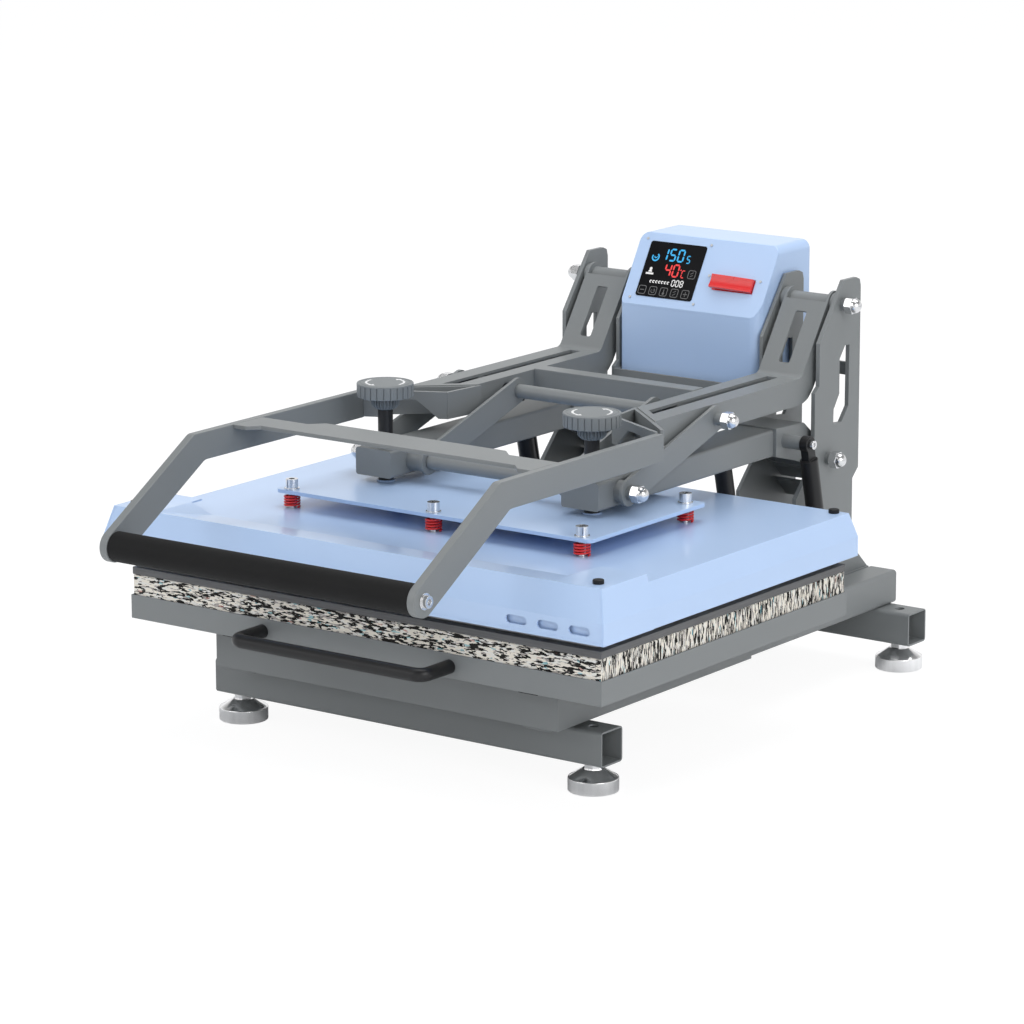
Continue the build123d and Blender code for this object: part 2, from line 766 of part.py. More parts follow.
def grip():
    """The grip tube, held between the bars."""
    tube = rod_x((-BAR[0] + 0.1, BAR[0] - 0.1), (GRIP_Y, GRIP_Z), GRIP_R)
    bore = rod_x((-BAR[0], BAR[0]), (GRIP_Y, GRIP_Z), GRIP_R - 3)
    plug = rod_x((BAR[0] - 12, BAR[0] - 0.1), (GRIP_Y, GRIP_Z), GRIP_R - 3)
    save("grip", [tube - bore + plug + mirror(plug, about=Plane.YZ)])


def grip_screws():
    at = (GRIP_Y, GRIP_Z)
    washer = rod_x((BAR[1], BAR[1] + 1.2), at, 8.5)
    head = rod_x((BAR[1] + 1.2, BAR[1] + 6), at, 6.2)
    socket = hex_x((BAR[1] + 2.5, BAR[1] + 7), at, 3.2)
    save("grip_screws", both(washer + head - socket))


# Toggle link

def link_plates():
    plates = []
    for x in (INNER_LINK, OUTER_LINK):
        plate = slot_link(PIVOT_D, PIVOT_C, 14, x)
        plate -= rod_x((x[0] - 1, x[1] + 1), PIVOT_D, PIN_R + RUN_FIT)
        plates += both(plate)
    save("link_plates", plates)


def link_rods():
    """The bars between the inner plates, at the upper and the lower pivot."""
    x = INNER_LINK[0]
    save("link_rods", [rod_x((-x, x), pivot, 7.5) for pivot in (PIVOT_C, PIVOT_D)])


NUT_COLLAR = 5.1


def link_nuts():
    """Domed nuts with round collars on the outer plates at the upper pivot."""
    base = OUTER_LINK[1] + 2 * NUT_COLLAR
    collar = rod_x((OUTER_LINK[1], base), PIVOT_C, NUT_COLLAR_R)
    save("link_nuts", both(collar + acorn_nut(base, PIVOT_C)))


# Press arms

def press_arms():
    arm = block(PRESS_ARM, (ARM_FRONT, ARM_END), (ARM_LOW, ARM_HIGH))
    arm = fillet(arm.edges().filter_by(Axis.Y), 3)
    inner_x = (PRESS_ARM[0] + ARM_WALL, PRESS_ARM[1] - ARM_WALL)
    inner_z = (ARM_LOW + ARM_WALL, ARM_HIGH - ARM_WALL)
    arm -= block(inner_x, (ARM_FRONT + ARM_WALL, ARM_END + 1), inner_z)
    arm += rod_z(SCREW_X, SCREW_Y, (ARM_LOW + 0.5, ARM_HIGH - 0.5), 12)
    arm -= rod_z(SCREW_X, SCREW_Y, (ARM_LOW - 1, ARM_HIGH + 1), SCREW_R + RUN_FIT)
    arm -= rod_x((PRESS_ARM[0] - 1, PRESS_ARM[1] + 1), PIVOT_D, 5.0)
    inner_x0, eye, _, _ = GAS_INNER
    arm -= block((inner_x0 - 12, inner_x0 + 12), (eye[0] - 24, eye[0] + 34), (ARM_LOW - 1, ARM_LOW + 5))
    arm -= rod_x((PRESS_ARM[0] + 1.5, PRESS_ARM[1] - 1.5), eye, 4.0)
    save("press_arms", both(arm))


CHEEK_OUTLINE = (
    (523.4, 255.0),
    (523.4, 285.7),
    (578.2, 283.3),
    (598.1, 267.9),
    (621.0, 246.3),
    (607.5, 227.1),
    (568.7, 242.6),
)
EYE_HALF = 5.5


def arm_cheeks():
    """The channel that carries each press arm, from its tube to the lower pivot, with the boss
    of the outer gas spring."""
    cheek = plate_yz(CHEEK_OUTLINE, CHEEKS)
    cheek -= block(PRESS_ARM, (520, ARM_END), (ARM_LOW - 5, ARM_HIGH))
    cheek -= block(PRESS_ARM, (ARM_END + 3, 640), (220, 280.8))
    cheek += rod_x(CHEEKS, PIVOT_B, CHEEK_END_R)
    cheek -= rod_x((CHEEKS[0] - 1, CHEEKS[1] + 1), PIVOT_B, PIN_R + RUN_FIT)
    x, eye, _, _ = GAS_OUTER
    cheek += rod_x((CHEEKS[1] - 1, x - EYE_HALF), eye, 7.5)
    save("arm_cheeks", both(cheek))


def arm_bushes():
    """Spacers at the lower pivot, and the bosses under the link plates."""
    pieces = []
    for x in ((INNER_UPRIGHT[1] + 0.3, CHEEKS[0]), (CHEEKS[1], OUTER_UPRIGHT[0] - 0.3)):
        bush = rod_x(x, PIVOT_B, 12) - rod_x((x[0] - 1, x[1] + 1), PIVOT_B, PIN_R + RUN_FIT)
        pieces += both(bush)
    save("arm_bushes", pieces)


def link_pivots():
    """The pins of the lower link pivot, with bosses inside the plates and domed nuts outside."""
    boss_in = rod_x((INNER_LINK[1] + 0.3, PRESS_ARM[0]), PIVOT_D, 12)
    boss_out = rod_x((PRESS_ARM[1], OUTER_LINK[0] - 0.3), PIVOT_D, 12)
    pin = rod_x((INNER_LINK[0] + 0.2, PRESS_ARM[0]), PIVOT_D, PIN_R)
    pin_out = rod_x((PRESS_ARM[1], OUTER_LINK[1] + 0.3), PIVOT_D, PIN_R)
    core = rod_x((PRESS_ARM[0] - 1, PRESS_ARM[1] + 1), PIVOT_D, 5.0)
    base = OUTER_LINK[1] + 0.3 + NUT_COLLAR
    collar = rod_x((OUTER_LINK[1] + 0.3, base), PIVOT_D, NUT_COLLAR_R)
    pivot = boss_in + pin + core + boss_out + pin_out + collar + acorn_nut(base, PIVOT_D)
    inside_tube = rod_z(SCREW_X, SCREW_Y, (ARM_LOW - 1, ARM_HIGH + 1), SCREW_R + 0.3)
    save("link_pivots", both(pivot - inside_tube))


def spring_studs():
    """The screws at the outer gas springs' upper eyes, and the hidden pins of the inner ones."""
    x, eye, _, _ = GAS_OUTER
    stud = rod_x((x - EYE_HALF, x + EYE_HALF), eye, 4)
    stud += rod_x((x + EYE_HALF, x + 9.5), eye, 4.9) - hex_x((x + 7.5, x + 10), eye, 2.3)
    _, eye, _, _ = GAS_INNER
    pin = rod_x((PRESS_ARM[0] + 1.5, PRESS_ARM[1] - 1.5), eye, 3.95)
    save("spring_studs", both(stud) + both(pin))


# Pressure adjustment

def pressure_plate():
    x = (-PLATE_HALF_W, PLATE_HALF_W)
    z = (PLATE_BOTTOM, PLATE_BOTTOM + PLATE_T)
    plate = round_block(x, (PLATE_FRONT, PLATE_REAR), z, Axis.Z, 6)
    for bx in BOLT_XS:
        for by in BOLT_YS:
            plate -= rod_z(bx, by, (z[0] - 1, z[1] + 1), BOLT_R + RUN_FIT)
    save("pressure_plate", [plate] + thrust_rings())


PLATE_TOP = PLATE_BOTTOM + PLATE_T


def thrust_rings():
    """Low rings on the plate that the screw ends turn in."""
    ring = rod_z(SCREW_X, SCREW_Y, (PLATE_TOP, PLATE_TOP + 1.2), 10.2)
    ring -= rod_z(SCREW_X, SCREW_Y, (PLATE_TOP - 1, PLATE_TOP + 2), SCREW_R + RUN_FIT)
    return both(ring)


def adjusting_screw(name, side):
    screw = rod_z(side * SCREW_X, SCREW_Y, (PLATE_TOP + 0.05, KNOB_LOW), SCREW_R)
    save(name, [screw])


def knob(name, side):
    """A round fluted knob with a ribbed neck and a set screw hole."""
    x = side * SCREW_X
    body = rod_z(x, SCREW_Y, (KNOB_LOW, KNOB_HIGH), KNOB_R)
    body = fillet(body.edges(), 1.2)
    for step in range(KNOB_FLUTES):
        turn = 2 * pi * step / KNOB_FLUTES
        groove_x = x + (KNOB_R + 0.6) * cos(turn)
        groove_y = SCREW_Y + (KNOB_R + 0.6) * sin(turn)
        body -= rod_z(groove_x, groove_y, (KNOB_LOW - 1, KNOB_HIGH - 2.5), 1.5)
    neck = rod_z(x, SCREW_Y, (NECK_LOW, KNOB_LOW), NECK_R)
    neck -= rod_z(x, SCREW_Y, (NECK_LOW - 1, KNOB_LOW), SCREW_R)
    neck -= Pos(x, SCREW_Y - NECK_R, 331) * Rot(90, 0, 0) * Cylinder(2, 8)
    save(name, [body + neck])


# Platen

HEATER_LOW = TRAY_BOTTOM + TRAY_H + PAD_T + SHEET_T + SHEET_GAP
HEATER_HIGH = HEATER_LOW + HEATER_T


def heating_plate():
    x = (-PLATEN_W / 2 + HEATER_INSET, PLATEN_W / 2 - HEATER_INSET)
    plate = round_block(x, (HEATER_INSET, PLATEN_D - HEATER_INSET), (HEATER_LOW, HEATER_HIGH), Axis.Z, 6)
    for y in range(45, 420, 50):
        plate -= block((-262, 262), (y - 4, y + 4), (HEATER_HIGH - 5, HEATER_HIGH + 1))
    save("heating_plate", [plate])


def heating_element():
    """Straight sheathed rods in the grooves of the plate."""
    rods = []
    for y in range(45, 420, 50):
        rods.append(rod_x((-260, 260), (y, HEATER_HIGH - 2.6), 2.4))
    save("heating_element", rods)


def insulation():
    low = HEATER_HIGH + 0.2
    blanket = block((-285, 285), (16, PLATEN_D - 16), (low, COVER_TOP - SHEET_METAL - 1))
    for bx in BOLT_XS:
        for by in BOLT_YS:
            blanket -= rod_z(bx, by, (low - 1, COVER_TOP), 7)
    save("insulation", [blanket])


def cover_block(inset):
    """The cover's outside: an upright band, then sides that lean in to the flat top."""
    half = COVER_HALF - inset
    y0 = COVER_FRONT + inset
    y1 = COVER_REAR - inset
    depth = y1 - y0
    band = block((-half, half), (y0, y1), (COVER_BOTTOM, COVER_FOLD))
    slopes = []
    for height, draft in ((COVER_FOLD, 0), (COVER_TOP - inset, COVER_DRAFT)):
        face = Pos(0, (y0 + y1) / 2) * Rectangle(2 * half - 2 * draft, depth - 2 * draft)
        slopes.append(Plane.XY.offset(height) * face)
    return band + loft(slopes)


def cover():
    shell = cover_block(0) - cover_block(SHEET_METAL)
    x = (-COVER_HALF + 1, COVER_HALF - 1)
    lip = block(x, (COVER_FRONT + 1, COVER_REAR - 1), (COVER_BOTTOM, COVER_BOTTOM + 1.5))
    opening_x = (-COVER_HALF + 8, COVER_HALF - 8)
    lip -= block(opening_x, (COVER_FRONT + 8, COVER_REAR - 8), (COVER_BOTTOM - 1, COVER_BOTTOM + 2))
    shell += lip
    for bx in BOLT_XS:
        for by in BOLT_YS:
            shell -= rod_z(bx, by, (COVER_TOP - 4, COVER_TOP + 1), BOLT_R + 0.2)
    save("cover", [shell])


def cap_block(inset, top):
    """The cap's outside: an upright band, then walls that lean in to the ridge."""
    half = CAP_HALF - inset
    front = CAP_FRONT + inset
    rear = CAP_REAR + inset
    band = block((-half, half), (front, rear), (CAP_BOTTOM - inset, CAP_FOLD))
    sections = []
    for height in (CAP_FOLD, top):
        share = (height - CAP_FOLD) / (CAP_TOP - CAP_FOLD)
        x = half - (CAP_HALF - RIDGE_HALF) * share
        y = front + (RIDGE_FRONT - CAP_FRONT) * share
        section = Polygon((-x, y), (x, y), (x, rear), (-x, rear), align=None)
        sections.append(Plane.XY.offset(height) * section)
    return band + loft(sections)


def cap_valley():
    """The space over the middle flange and over the small facets at its ends."""
    low = COVER_TOP + FLANGE_T
    above = CAP_TOP + 20
    flange = ((RIDGE_FRONT, CAP_TOP), (FLANGE_REAR, low), (90, low), (90, above), (RIDGE_FRONT, above))
    facets = ((-EAR_X, CAP_TOP), (-FLANGE_X, low), (FLANGE_X, low), (EAR_X, CAP_TOP))
    ends = ((EAR_X, above), (-EAR_X, above))
    return plate_yz(flange, (-EAR_X, EAR_X)) & plate_xz(facets + ends, (-40, 95))


def cover_cap():
    """The raised sheet hood along the front, with a level ear back along each side."""
    valley = cap_valley()
    space = cap_block(SHEET_METAL, CAP_TOP - FLANGE_T) - Pos(0, 0, -FLANGE_T) * valley
    cap = cap_block(0, CAP_TOP) - valley - space
    cap -= block((-EAR_X, EAR_X), (FLANGE_REAR, CAP_REAR + 1), (CAP_FOLD, CAP_TOP + 1))
    lip = block((-CAP_HALF + 1, CAP_HALF - 1), (CAP_FRONT + 1, CAP_REAR), (CAP_BOTTOM, CAP_BOTTOM + 1.5))
    lip -= block((-COVER_HALF, COVER_HALF), (COVER_FRONT, CAP_REAR + 1), (CAP_BOTTOM - 1, CAP_BOTTOM + 2))
    cap += lip
    for sx in SLOT_XS:
        for side in (-1, 1):
            x = (side * sx - 12.5, side * sx + 12.5)
            cap -= round_block(x, (CAP_FRONT - 1, CAP_FRONT + 3), SLOT_Z, Axis.Y, 4.2)
    save("cover_cap", [cap])


PLUGS = ((293.5, 3.6, CAP_TOP), (288.9, 435.3, COVER_TOP))


def cover_plugs():
    plugs = []
    for x, y, low in PLUGS:
        plug = rod_z(x, y, (low, low + 4.2), 5.7)
        plugs += both(fillet(plug.edges().group_by(Axis.Z)[-1], 1))
    save("cover_plugs", plugs)


def plate_bolts():
    """Shoulder bolts with washers that hold the platen under the pressure plate."""
    bolts = []
    for bx in BOLT_XS:
        for by in BOLT_YS:
            shank = rod_z(bx, by, (HEATER_HIGH, PLATE_TOP + 1.6), BOLT_R)
            washer = rod_z(bx, by, (PLATE_TOP, PLATE_TOP + 1.6), 8)
            head = rod_z(bx, by, (PLATE_TOP + 1.6, PLATE_TOP + 11.1), 6.5)
            socket = Pos(bx, by, PLATE_TOP + 6.5) * extrude(RegularPolygon(3.4, 6), 6)
            bolts.append(shank + washer + head - socket)
    save("plate_bolts", bolts)


# Springs under the pressure plate

def spring_points(low, high):
    """Points and directions along one spring: up, round its turns, and up again."""
    radius = (SPRING_OD - SPRING_WIRE) / 2
    turn_low = low + SPRING_WIRE + SPRING_RISE
    turn_high = high - SPRING_WIRE - SPRING_RISE
    slope = (turn_high - turn_low) / (2 * pi * SPRING_TURNS)
    lead = SPRING_RISE / radius
    stations = [(radius * cos(-lead), radius * sin(-lead), low + SPRING_WIRE, 0, 0, 1)]
    for quarter in range(4 * SPRING_TURNS + 1):
        turn = pi / 2 * quarter
        run = hypot(radius, slope)
        stations.append((
            radius * cos(turn),
            radius * sin(turn),
            turn_low + slope * turn,
            -radius * sin(turn) / run,
            radius * cos(turn) / run,
            slope / run,
        ))
    last = 2 * pi * SPRING_TURNS + lead
    stations.append((radius * cos(last), radius * sin(last), high - SPRING_WIRE, 0, 0, 1))
    return stations


def biarc(start, end):
    """Two tangent arcs between two stations."""
    p0 = Vector(*start[:3])
    p1 = Vector(*end[:3])
    t0 = Vector(*start[3:])
    t1 = Vector(*end[3:])
    gap = p1 - p0
    both_ways = t0 + t1
    a = 4 - both_ways.dot(both_ways)
    b = 2 * gap.dot(both_ways)
    c = -gap.dot(gap)
    reach = (-b + (b * b - 4 * a * c) ** 0.5) / (2 * a)
    middle = (p0 + t0 * reach + p1 - t1 * reach) * 0.5
    first = TangentArc(p0, middle, tangent=t0)
    second = TangentArc(middle, p1, tangent=first % 1)
    return [first, second]


def spring_gap(low, high):
    """Least gap of the wire to itself, on points along the turns and the ends."""
    samples = []
    for start, end in zip(spring_points(low, high), spring_points(low, high)[1:]):
        for arc in biarc(start, end):
            samples += [arc @ (step / 8) for step in range(8)]
    lengths = [0.0]
    for one, two in zip(samples, samples[1:]):
        lengths.append(lengths[-1] + (two - one).length)
    least = 1e9
    for i, one in enumerate(samples):
        for j in range(i + 1, len(samples)):
            if lengths[j] - lengths[i] > 5 * SPRING_WIRE:
                least = min(least, (samples[j] - one).length)
    return least - SPRING_WIRE


def platen_springs():
    stations = spring_points(COVER_TOP, PLATE_BOTTOM)
    foot = Vector(stations[0][0], stations[0][1], COVER_TOP)
    head = Vector(stations[-1][0], stations[-1][1], PLATE_BOTTOM)
    edges = [Line(foot, Vector(*stations[0][:3]))]
    for start, end in zip(stations, stations[1:]):
        edges += biarc(start, end)
    edges.append(Line(Vector(*stations[-1][:3]), head))
    path = Wire(edges)
    ring = Plane(origin=foot, z_dir=(0, 0, 1)) * Circle(SPRING_WIRE / 2)
    spring = sweep(ring, path=path)
    print("spring gap", round(spring_gap(COVER_TOP, PLATE_BOTTOM), 2))
    save("platen_springs", [Pos(bx, by, 0) * spring for bx in BOLT_XS for by in BOLT_YS])


# Drawer

HANDLE_LEGS = (-122.7, 116.2)
HANDLE_REACH = 45.0
HANDLE_Z = 129.9
HANDLE_BEND = 10.5
HANDLE_BAR_R = 7.2
PAD_LOW = TRAY_BOTTOM + TRAY_H - 3
TRAY_PLATE_LOW = PAD_LOW - 2.5


def drawer_tray():
    """A folded sheet tray: a plate with a low rim above and deep skirts below."""
    x = (-PLATEN_W / 2, PLATEN_W / 2)
    tray = block(x, (0, PLATEN_D), (TRAY_BOTTOM, TRAY_BOTTOM + TRAY_H))
    wall = 1.5
    inner_x = (x[0] + wall, x[1] - wall)
    tray -= block(inner_x, (wall, PLATEN_D - wall), (PAD_LOW, TRAY_BOTTOM + TRAY_H + 1))
    tray -= block(inner_x, (wall, PLATEN_D - wall), (TRAY_BOTTOM - 1, TRAY_PLATE_LOW))
    save("drawer_tray", [tray])



def felt_pad():
    x = PLATEN_W / 2 - 2
    top = TRAY_BOTTOM + TRAY_H + PAD_T
    pad = block((-x, x), (2, PLATEN_D - 2), (PAD_LOW, top))
    save("felt_pad", [pad])


def silicone_sheet():
    x = PLATEN_W / 2 - 1.5
    low = TRAY_BOTTOM + TRAY_H + PAD_T
    sheet = block((-x, x), (1.5, PLATEN_D - 1.5), (low, low + SHEET_T))
    save("silicone_sheet", [sheet])


def drawer_handle():
    """A bent round bar across the front of the drawer."""
    left, right = HANDLE_LEGS
    reach = -HANDLE_REACH
    corners = ((left, 0, HANDLE_Z), (left, reach, HANDLE_Z), (right, reach, HANDLE_Z), (right, 0, HANDLE_Z))
    path = FilletPolyline(*corners, radius=HANDLE_BEND)
    ring = Plane(origin=(left, 0, HANDLE_Z), z_dir=(0, -1, 0)) * Circle(HANDLE_BAR_R)
    save("drawer_handle", [sweep(ring, path=path)])


def drawer_runners():
    runner = block(RUNNER_X, (30, 430), (CHANNEL_LOW + 1.8, TRAY_PLATE_LOW))
    save("drawer_runners", both(runner))


# Gas springs

GAS_NECK = 17.5
GAS_ROD_START = 52.0


def gas_cylinders(name, spec):
    x, eye, low, reach = spec
    body = tube_between(x, along(eye, low, GAS_NECK), along(eye, low, reach), GAS_R)
    body -= tube_between(x, along(eye, low, 24), along(eye, low, reach + 1), GAS_ROD_R + RUN_FIT)
    neck = block((x - 4.8, x + 4.8), (-7, 7), (-GAS_NECK - 1, 0))
    lean = degrees(atan2(low[0] - eye[0], eye[1] - low[1]))
    fitting = Pos(0, eye[0], eye[1]) * Rot(lean, 0, 0) * neck
    fitting += rod_x((x - 4.8, x + 4.8), eye, 9)
    fitting -= rod_x((x - 6, x + 6), eye, 4 + RUN_FIT)
    save(name, both(body + fitting))


def gas_rods(name, spec):
    x, eye, low, _ = spec
    run = hypot(low[0] - eye[0], low[1] - eye[1])
    rod = tube_between(x, along(eye, low, GAS_ROD_START), along(eye, low, run - 6), GAS_ROD_R)
    end = rod_x((x - 4.5, x + 4.5), low, 8)
    stud = rod_x((x - 7.2, x + 7.2), low, 3.5)
    save(name, both(rod + end + stud))


# Feet

def foot(name, x, y):
    """A disc, a cone, a hexagon and a threaded stud."""
    disc = rod_z(x, y, (0, FOOT_DISC), FOOT_R)
    disc = fillet(disc.edges(), 1.0)
    cone = Pos(x, y, (FOOT_DISC + FOOT_CONE) / 2) * Cone(24.5, 11, FOOT_CONE - FOOT_DISC)
    nut = Pos(x, y, FOOT_CONE) * extrude(RegularPolygon(9.8, 6), TUBE_LOW - 0.1 - FOOT_CONE)
    stud = rod_z(x, y, (TUBE_LOW - 2, TUBE_LOW + 28), STUD_R)
    save(name, [disc + cone + nut + stud])


base_cross_tubes()
base_rails()
base_apron()
rear_deck()
slide_channels()
uprights()
upright_ties()
pivot_bolts()
gas_brackets()
box_tray()
box_shell()
box_panel()
display_glass()
panel_screws()
switch_well()
switch_rocker()
controller_board()
power_inlet()
handle_arms()
handle_bushes()
cross_beam()
handle_gussets()
handle_bars()
bridge_plate()
grip()
grip_screws()
link_plates()
link_rods()
link_nuts()
press_arms()
arm_cheeks()
arm_bushes()
link_pivots()
spring_studs()
pressure_plate()
adjusting_screw("screw_left", -1)
adjusting_screw("screw_right", 1)
knob("knob_left", -1)
knob("knob_right", 1)
heating_plate()
heating_element()
insulation()
cover()
cover_cap()
cover_plugs()
plate_bolts()
platen_springs()
drawer_tray()
felt_pad()
silicone_sheet()
drawer_handle()
drawer_runners()
gas_cylinders("gas_cylinders_outer", GAS_OUTER)
gas_rods("gas_rods_outer", GAS_OUTER)
gas_cylinders("gas_cylinders_inner", GAS_INNER)
gas_rods("gas_rods_inner", GAS_INNER)
for row, front in (("front", CROSS_FRONT), ("rear", CROSS_REAR)):
    foot("foot_" + row + "_left", -FOOT_X, front + TUBE / 2)
    foot("foot_" + row + "_right", FOOT_X, front + TUBE / 2)
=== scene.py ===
import json
from math import cos, pi, radians, sin

import bmesh
import bpy
from mathutils import Matrix, Vector


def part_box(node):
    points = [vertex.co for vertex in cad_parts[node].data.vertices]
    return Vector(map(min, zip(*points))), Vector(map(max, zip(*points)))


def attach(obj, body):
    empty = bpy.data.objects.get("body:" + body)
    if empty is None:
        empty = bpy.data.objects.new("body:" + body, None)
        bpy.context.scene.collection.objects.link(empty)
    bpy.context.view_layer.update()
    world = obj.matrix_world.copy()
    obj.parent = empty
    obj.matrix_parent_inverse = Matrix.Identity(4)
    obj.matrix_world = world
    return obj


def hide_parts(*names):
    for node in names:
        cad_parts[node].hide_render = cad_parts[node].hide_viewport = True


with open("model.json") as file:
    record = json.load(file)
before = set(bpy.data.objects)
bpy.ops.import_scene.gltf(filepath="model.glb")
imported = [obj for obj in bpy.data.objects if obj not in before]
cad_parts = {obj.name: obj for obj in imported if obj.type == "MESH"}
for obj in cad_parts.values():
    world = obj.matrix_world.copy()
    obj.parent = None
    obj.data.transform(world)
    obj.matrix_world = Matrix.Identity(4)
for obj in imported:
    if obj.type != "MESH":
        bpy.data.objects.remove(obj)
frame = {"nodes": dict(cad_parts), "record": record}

bl_info = {
    "name": "Large format heat press",
    "version": (1, 0, 0),
    "blender": (4, 5, 0),
    "location": "View3D > Sidebar > Heat press",
    "description": "Dresses the packed heat press in its finishes and fine pieces",
    "category": "Object",
}

NODES = frame["nodes"]
BODY_OF = {
    node: body
    for body, members in frame["record"]["behaviour"]["bodies"].items()
    for node in members
}
SLOT_OF = {entry["node"]: entry["material_slot"] for entry in frame["record"]["subparts"]}
MM = 0.001


# Sizes and colours that a user would change

class PressSizes(bpy.types.PropertyGroup):
    """Sizes of the finer pieces."""

    edge_round: bpy.props.FloatProperty(
        name="Edge rounding",
        description="Radius on the edges of sheet and bar",
        default=0.6 * MM,
        unit="LENGTH",
    )
    spring_wire: bpy.props.FloatProperty(
        name="Spring wire",
        description="Thickness of the red spring wire",
        default=2.2 * MM,
        unit="LENGTH",
    )
    spring_turns: bpy.props.FloatProperty(
        name="Spring turns",
        description="Turns of each red spring",
        default=4.5,
    )
    knob_flutes: bpy.props.IntProperty(
        name="Knob flutes",
        description="Flutes around each knob",
        default=26,
    )
    time_shown: bpy.props.IntProperty(
        name="Time shown",
        description="Seconds on the display",
        default=150,
        min=0,
        max=999,
    )
    heat_shown: bpy.props.IntProperty(
        name="Heat shown",
        description="Degrees on the display",
        default=40,
        min=0,
        max=99,
    )
    count_shown: bpy.props.IntProperty(
        name="Count shown",
        description="Count of pressings on the display",
        default=8,
        min=0,
        max=999,
    )
    camera_lens: bpy.props.FloatProperty(
        name="Lens",
        description="Focal length of the camera, in millimetres",
        default=154.22,
        unit="CAMERA",
    )


def colour(name, description, default):
    """A colour property in the scene's linear values."""
    return bpy.props.FloatVectorProperty(
        name=name,
        description=description,
        default=default,
        size=3,
        subtype="COLOR",
        min=0.0,
        max=1.0,
    )


class PressColours(bpy.types.PropertyGroup):
    """Colours of the finishes."""

    grey: colour("Grey coat", "Powder coat of the frame", (0.198, 0.210, 0.213))
    blue: colour("Blue coat", "Powder coat of the covers", (0.452, 0.605, 0.862))
    black: colour("Black", "Black plastic and rubber", (0.012, 0.012, 0.013))
    knob: colour("Knob", "Moulded grey of the knobs", (0.19, 0.205, 0.212))
    chrome: colour("Chrome", "Plated nuts, bolts and feet", (0.74, 0.745, 0.755))
    red: colour("Red", "Springs and switch", (0.74, 0.018, 0.020))
    felt_cream: colour("Felt ground", "Ground colour of the pad", (0.80, 0.75, 0.66))
    felt_black: colour("Felt flecks", "Dark flecks of the pad", (0.004, 0.004, 0.004))
    felt_teal: colour("Felt specks", "Blue-green specks of the pad", (0.22, 0.50, 0.56))
    silicone: colour("Silicone", "Grey sheet over the pad", (0.115, 0.115, 0.116))


# Shader expressions

class Socket:
    """A socket whose sums, products and comparisons add Math nodes."""

    def __init__(self, shader, link):
        self.shader = shader
        self.link = link

    def _with(self, operation, first, second=None):
        """The result of a Math node on one or two values."""
        values = {0: first} if second is None else {0: first, 1: second}
        return self.shader.node("ShaderNodeMath", {"operation": operation}, values)

    def __add__(self, other):
        return self._with("ADD", self, other)

    def __radd__(self, other):
        return self._with("ADD", other, self)

    def __sub__(self, other):
        return self._with("SUBTRACT", self, other)

    def __rsub__(self, other):
        return self._with("SUBTRACT", other, self)

    def __mul__(self, other):
        return self._with("MULTIPLY", self, other)

    def __rmul__(self, other):
        return self._with("MULTIPLY", other, self)

    def __gt__(self, other):
        return self._with("GREATER_THAN", self, other)

    def __lt__(self, other):
        return self._with("LESS_THAN", self, other)

    def __abs__(self):
        return self._with("ABSOLUTE", self)


class Shader:
    """The nodes of a new material, or of the world, written as expressions."""

    def __init__(self, name, library="materials"):
        self.holder = getattr(bpy.data, library).new(name)
        self.holder.use_nodes = True
        self.tree = self.holder.node_tree
        self.tree.nodes.clear()

    def node(self, kind, settings=None, sockets=None, output=0):
        """One node: its settings first, then the values or links of its sockets."""
        made = self.tree.nodes.new(kind)
        for name, value in (settings or {}).items():
            setattr(made, name, value)
        for name, value in (sockets or {}).items():
            self._feed(made.inputs[name], value)
        return Socket(self, made.outputs[output]) if made.outputs else None

    def _feed(self, socket, value):
        """Gives a socket its link or value, a colour with full alpha."""
        if isinstance(value, Socket):
            self.tree.links.new(value.link, socket)
        elif isinstance(value, (tuple, list)) and len(value) == 3 and socket.type == "RGBA":
            socket.default_value = (*value, 1.0)
        else:
            socket.default_value = value

    def place(self, stretch=(1.0, 1.0, 1.0)):
        """Coordinates on the piece, in metres, stretched by a factor along each axis."""
        here = self.node("ShaderNodeTexCoord", output="Object")
        if stretch == (1.0, 1.0, 1.0):
            return here
        return self.node(
            "ShaderNodeVectorMath", {"operation": "MULTIPLY"}, {0: here, 1: stretch}
        )

    def noise(self, scale, detail=3.0, stretch=(1.0, 1.0, 1.0)):
        """Noise from 0 to 1, with that many cells in a metre."""
        at = self.place(stretch)
        values = {"Vector": at, "Scale": scale, "Detail": detail}
        return self.node("ShaderNodeTexNoise", {}, values, "Fac")

    def mix(self, share, low, high):
        """A colour between two others."""
        # The Mix node's colours are its sockets 6 and 7 and its output 2
        return self.node(
            "ShaderNodeMix",
            {"data_type": "RGBA"},
            {"Factor": share, 6: low, 7: high},
            2,
        )

    def scaled(self, shade, amount):
        """A colour made brighter or darker by a varying amount."""
        return self.node(
            "ShaderNodeVectorMath",
            {"operation": "SCALE"},
            {0: shade, "Scale": amount},
        )

    def bump(self, height, depth):
        """A normal from a height between 0 and 1, that many metres deep."""
        return self.node(
            "ShaderNodeBump",
            {},
            {"Height": height, "Distance": depth, "Strength": 1.0},
        )

    def finish(self, sockets):
        """The surface itself."""
        surface = self.node("ShaderNodeBsdfPrincipled", {}, sockets)
        self.node("ShaderNodeOutputMaterial", {}, {"Surface": surface})
        return self.holder


FINISHES = {}


def finish_once(make):
    """Keeps each material once, however many pieces wear it."""
    def given(*details):
        key = (make.__name__, *details)
        if key not in FINISHES:
            FINISHES[key] = make(*details)
        return FINISHES[key]
    return given


def colours():
    """The colours in use."""
    return bpy.context.scene.press_colours


def sizes():
    """The sizes in use."""
    return bpy.context.scene.press_sizes


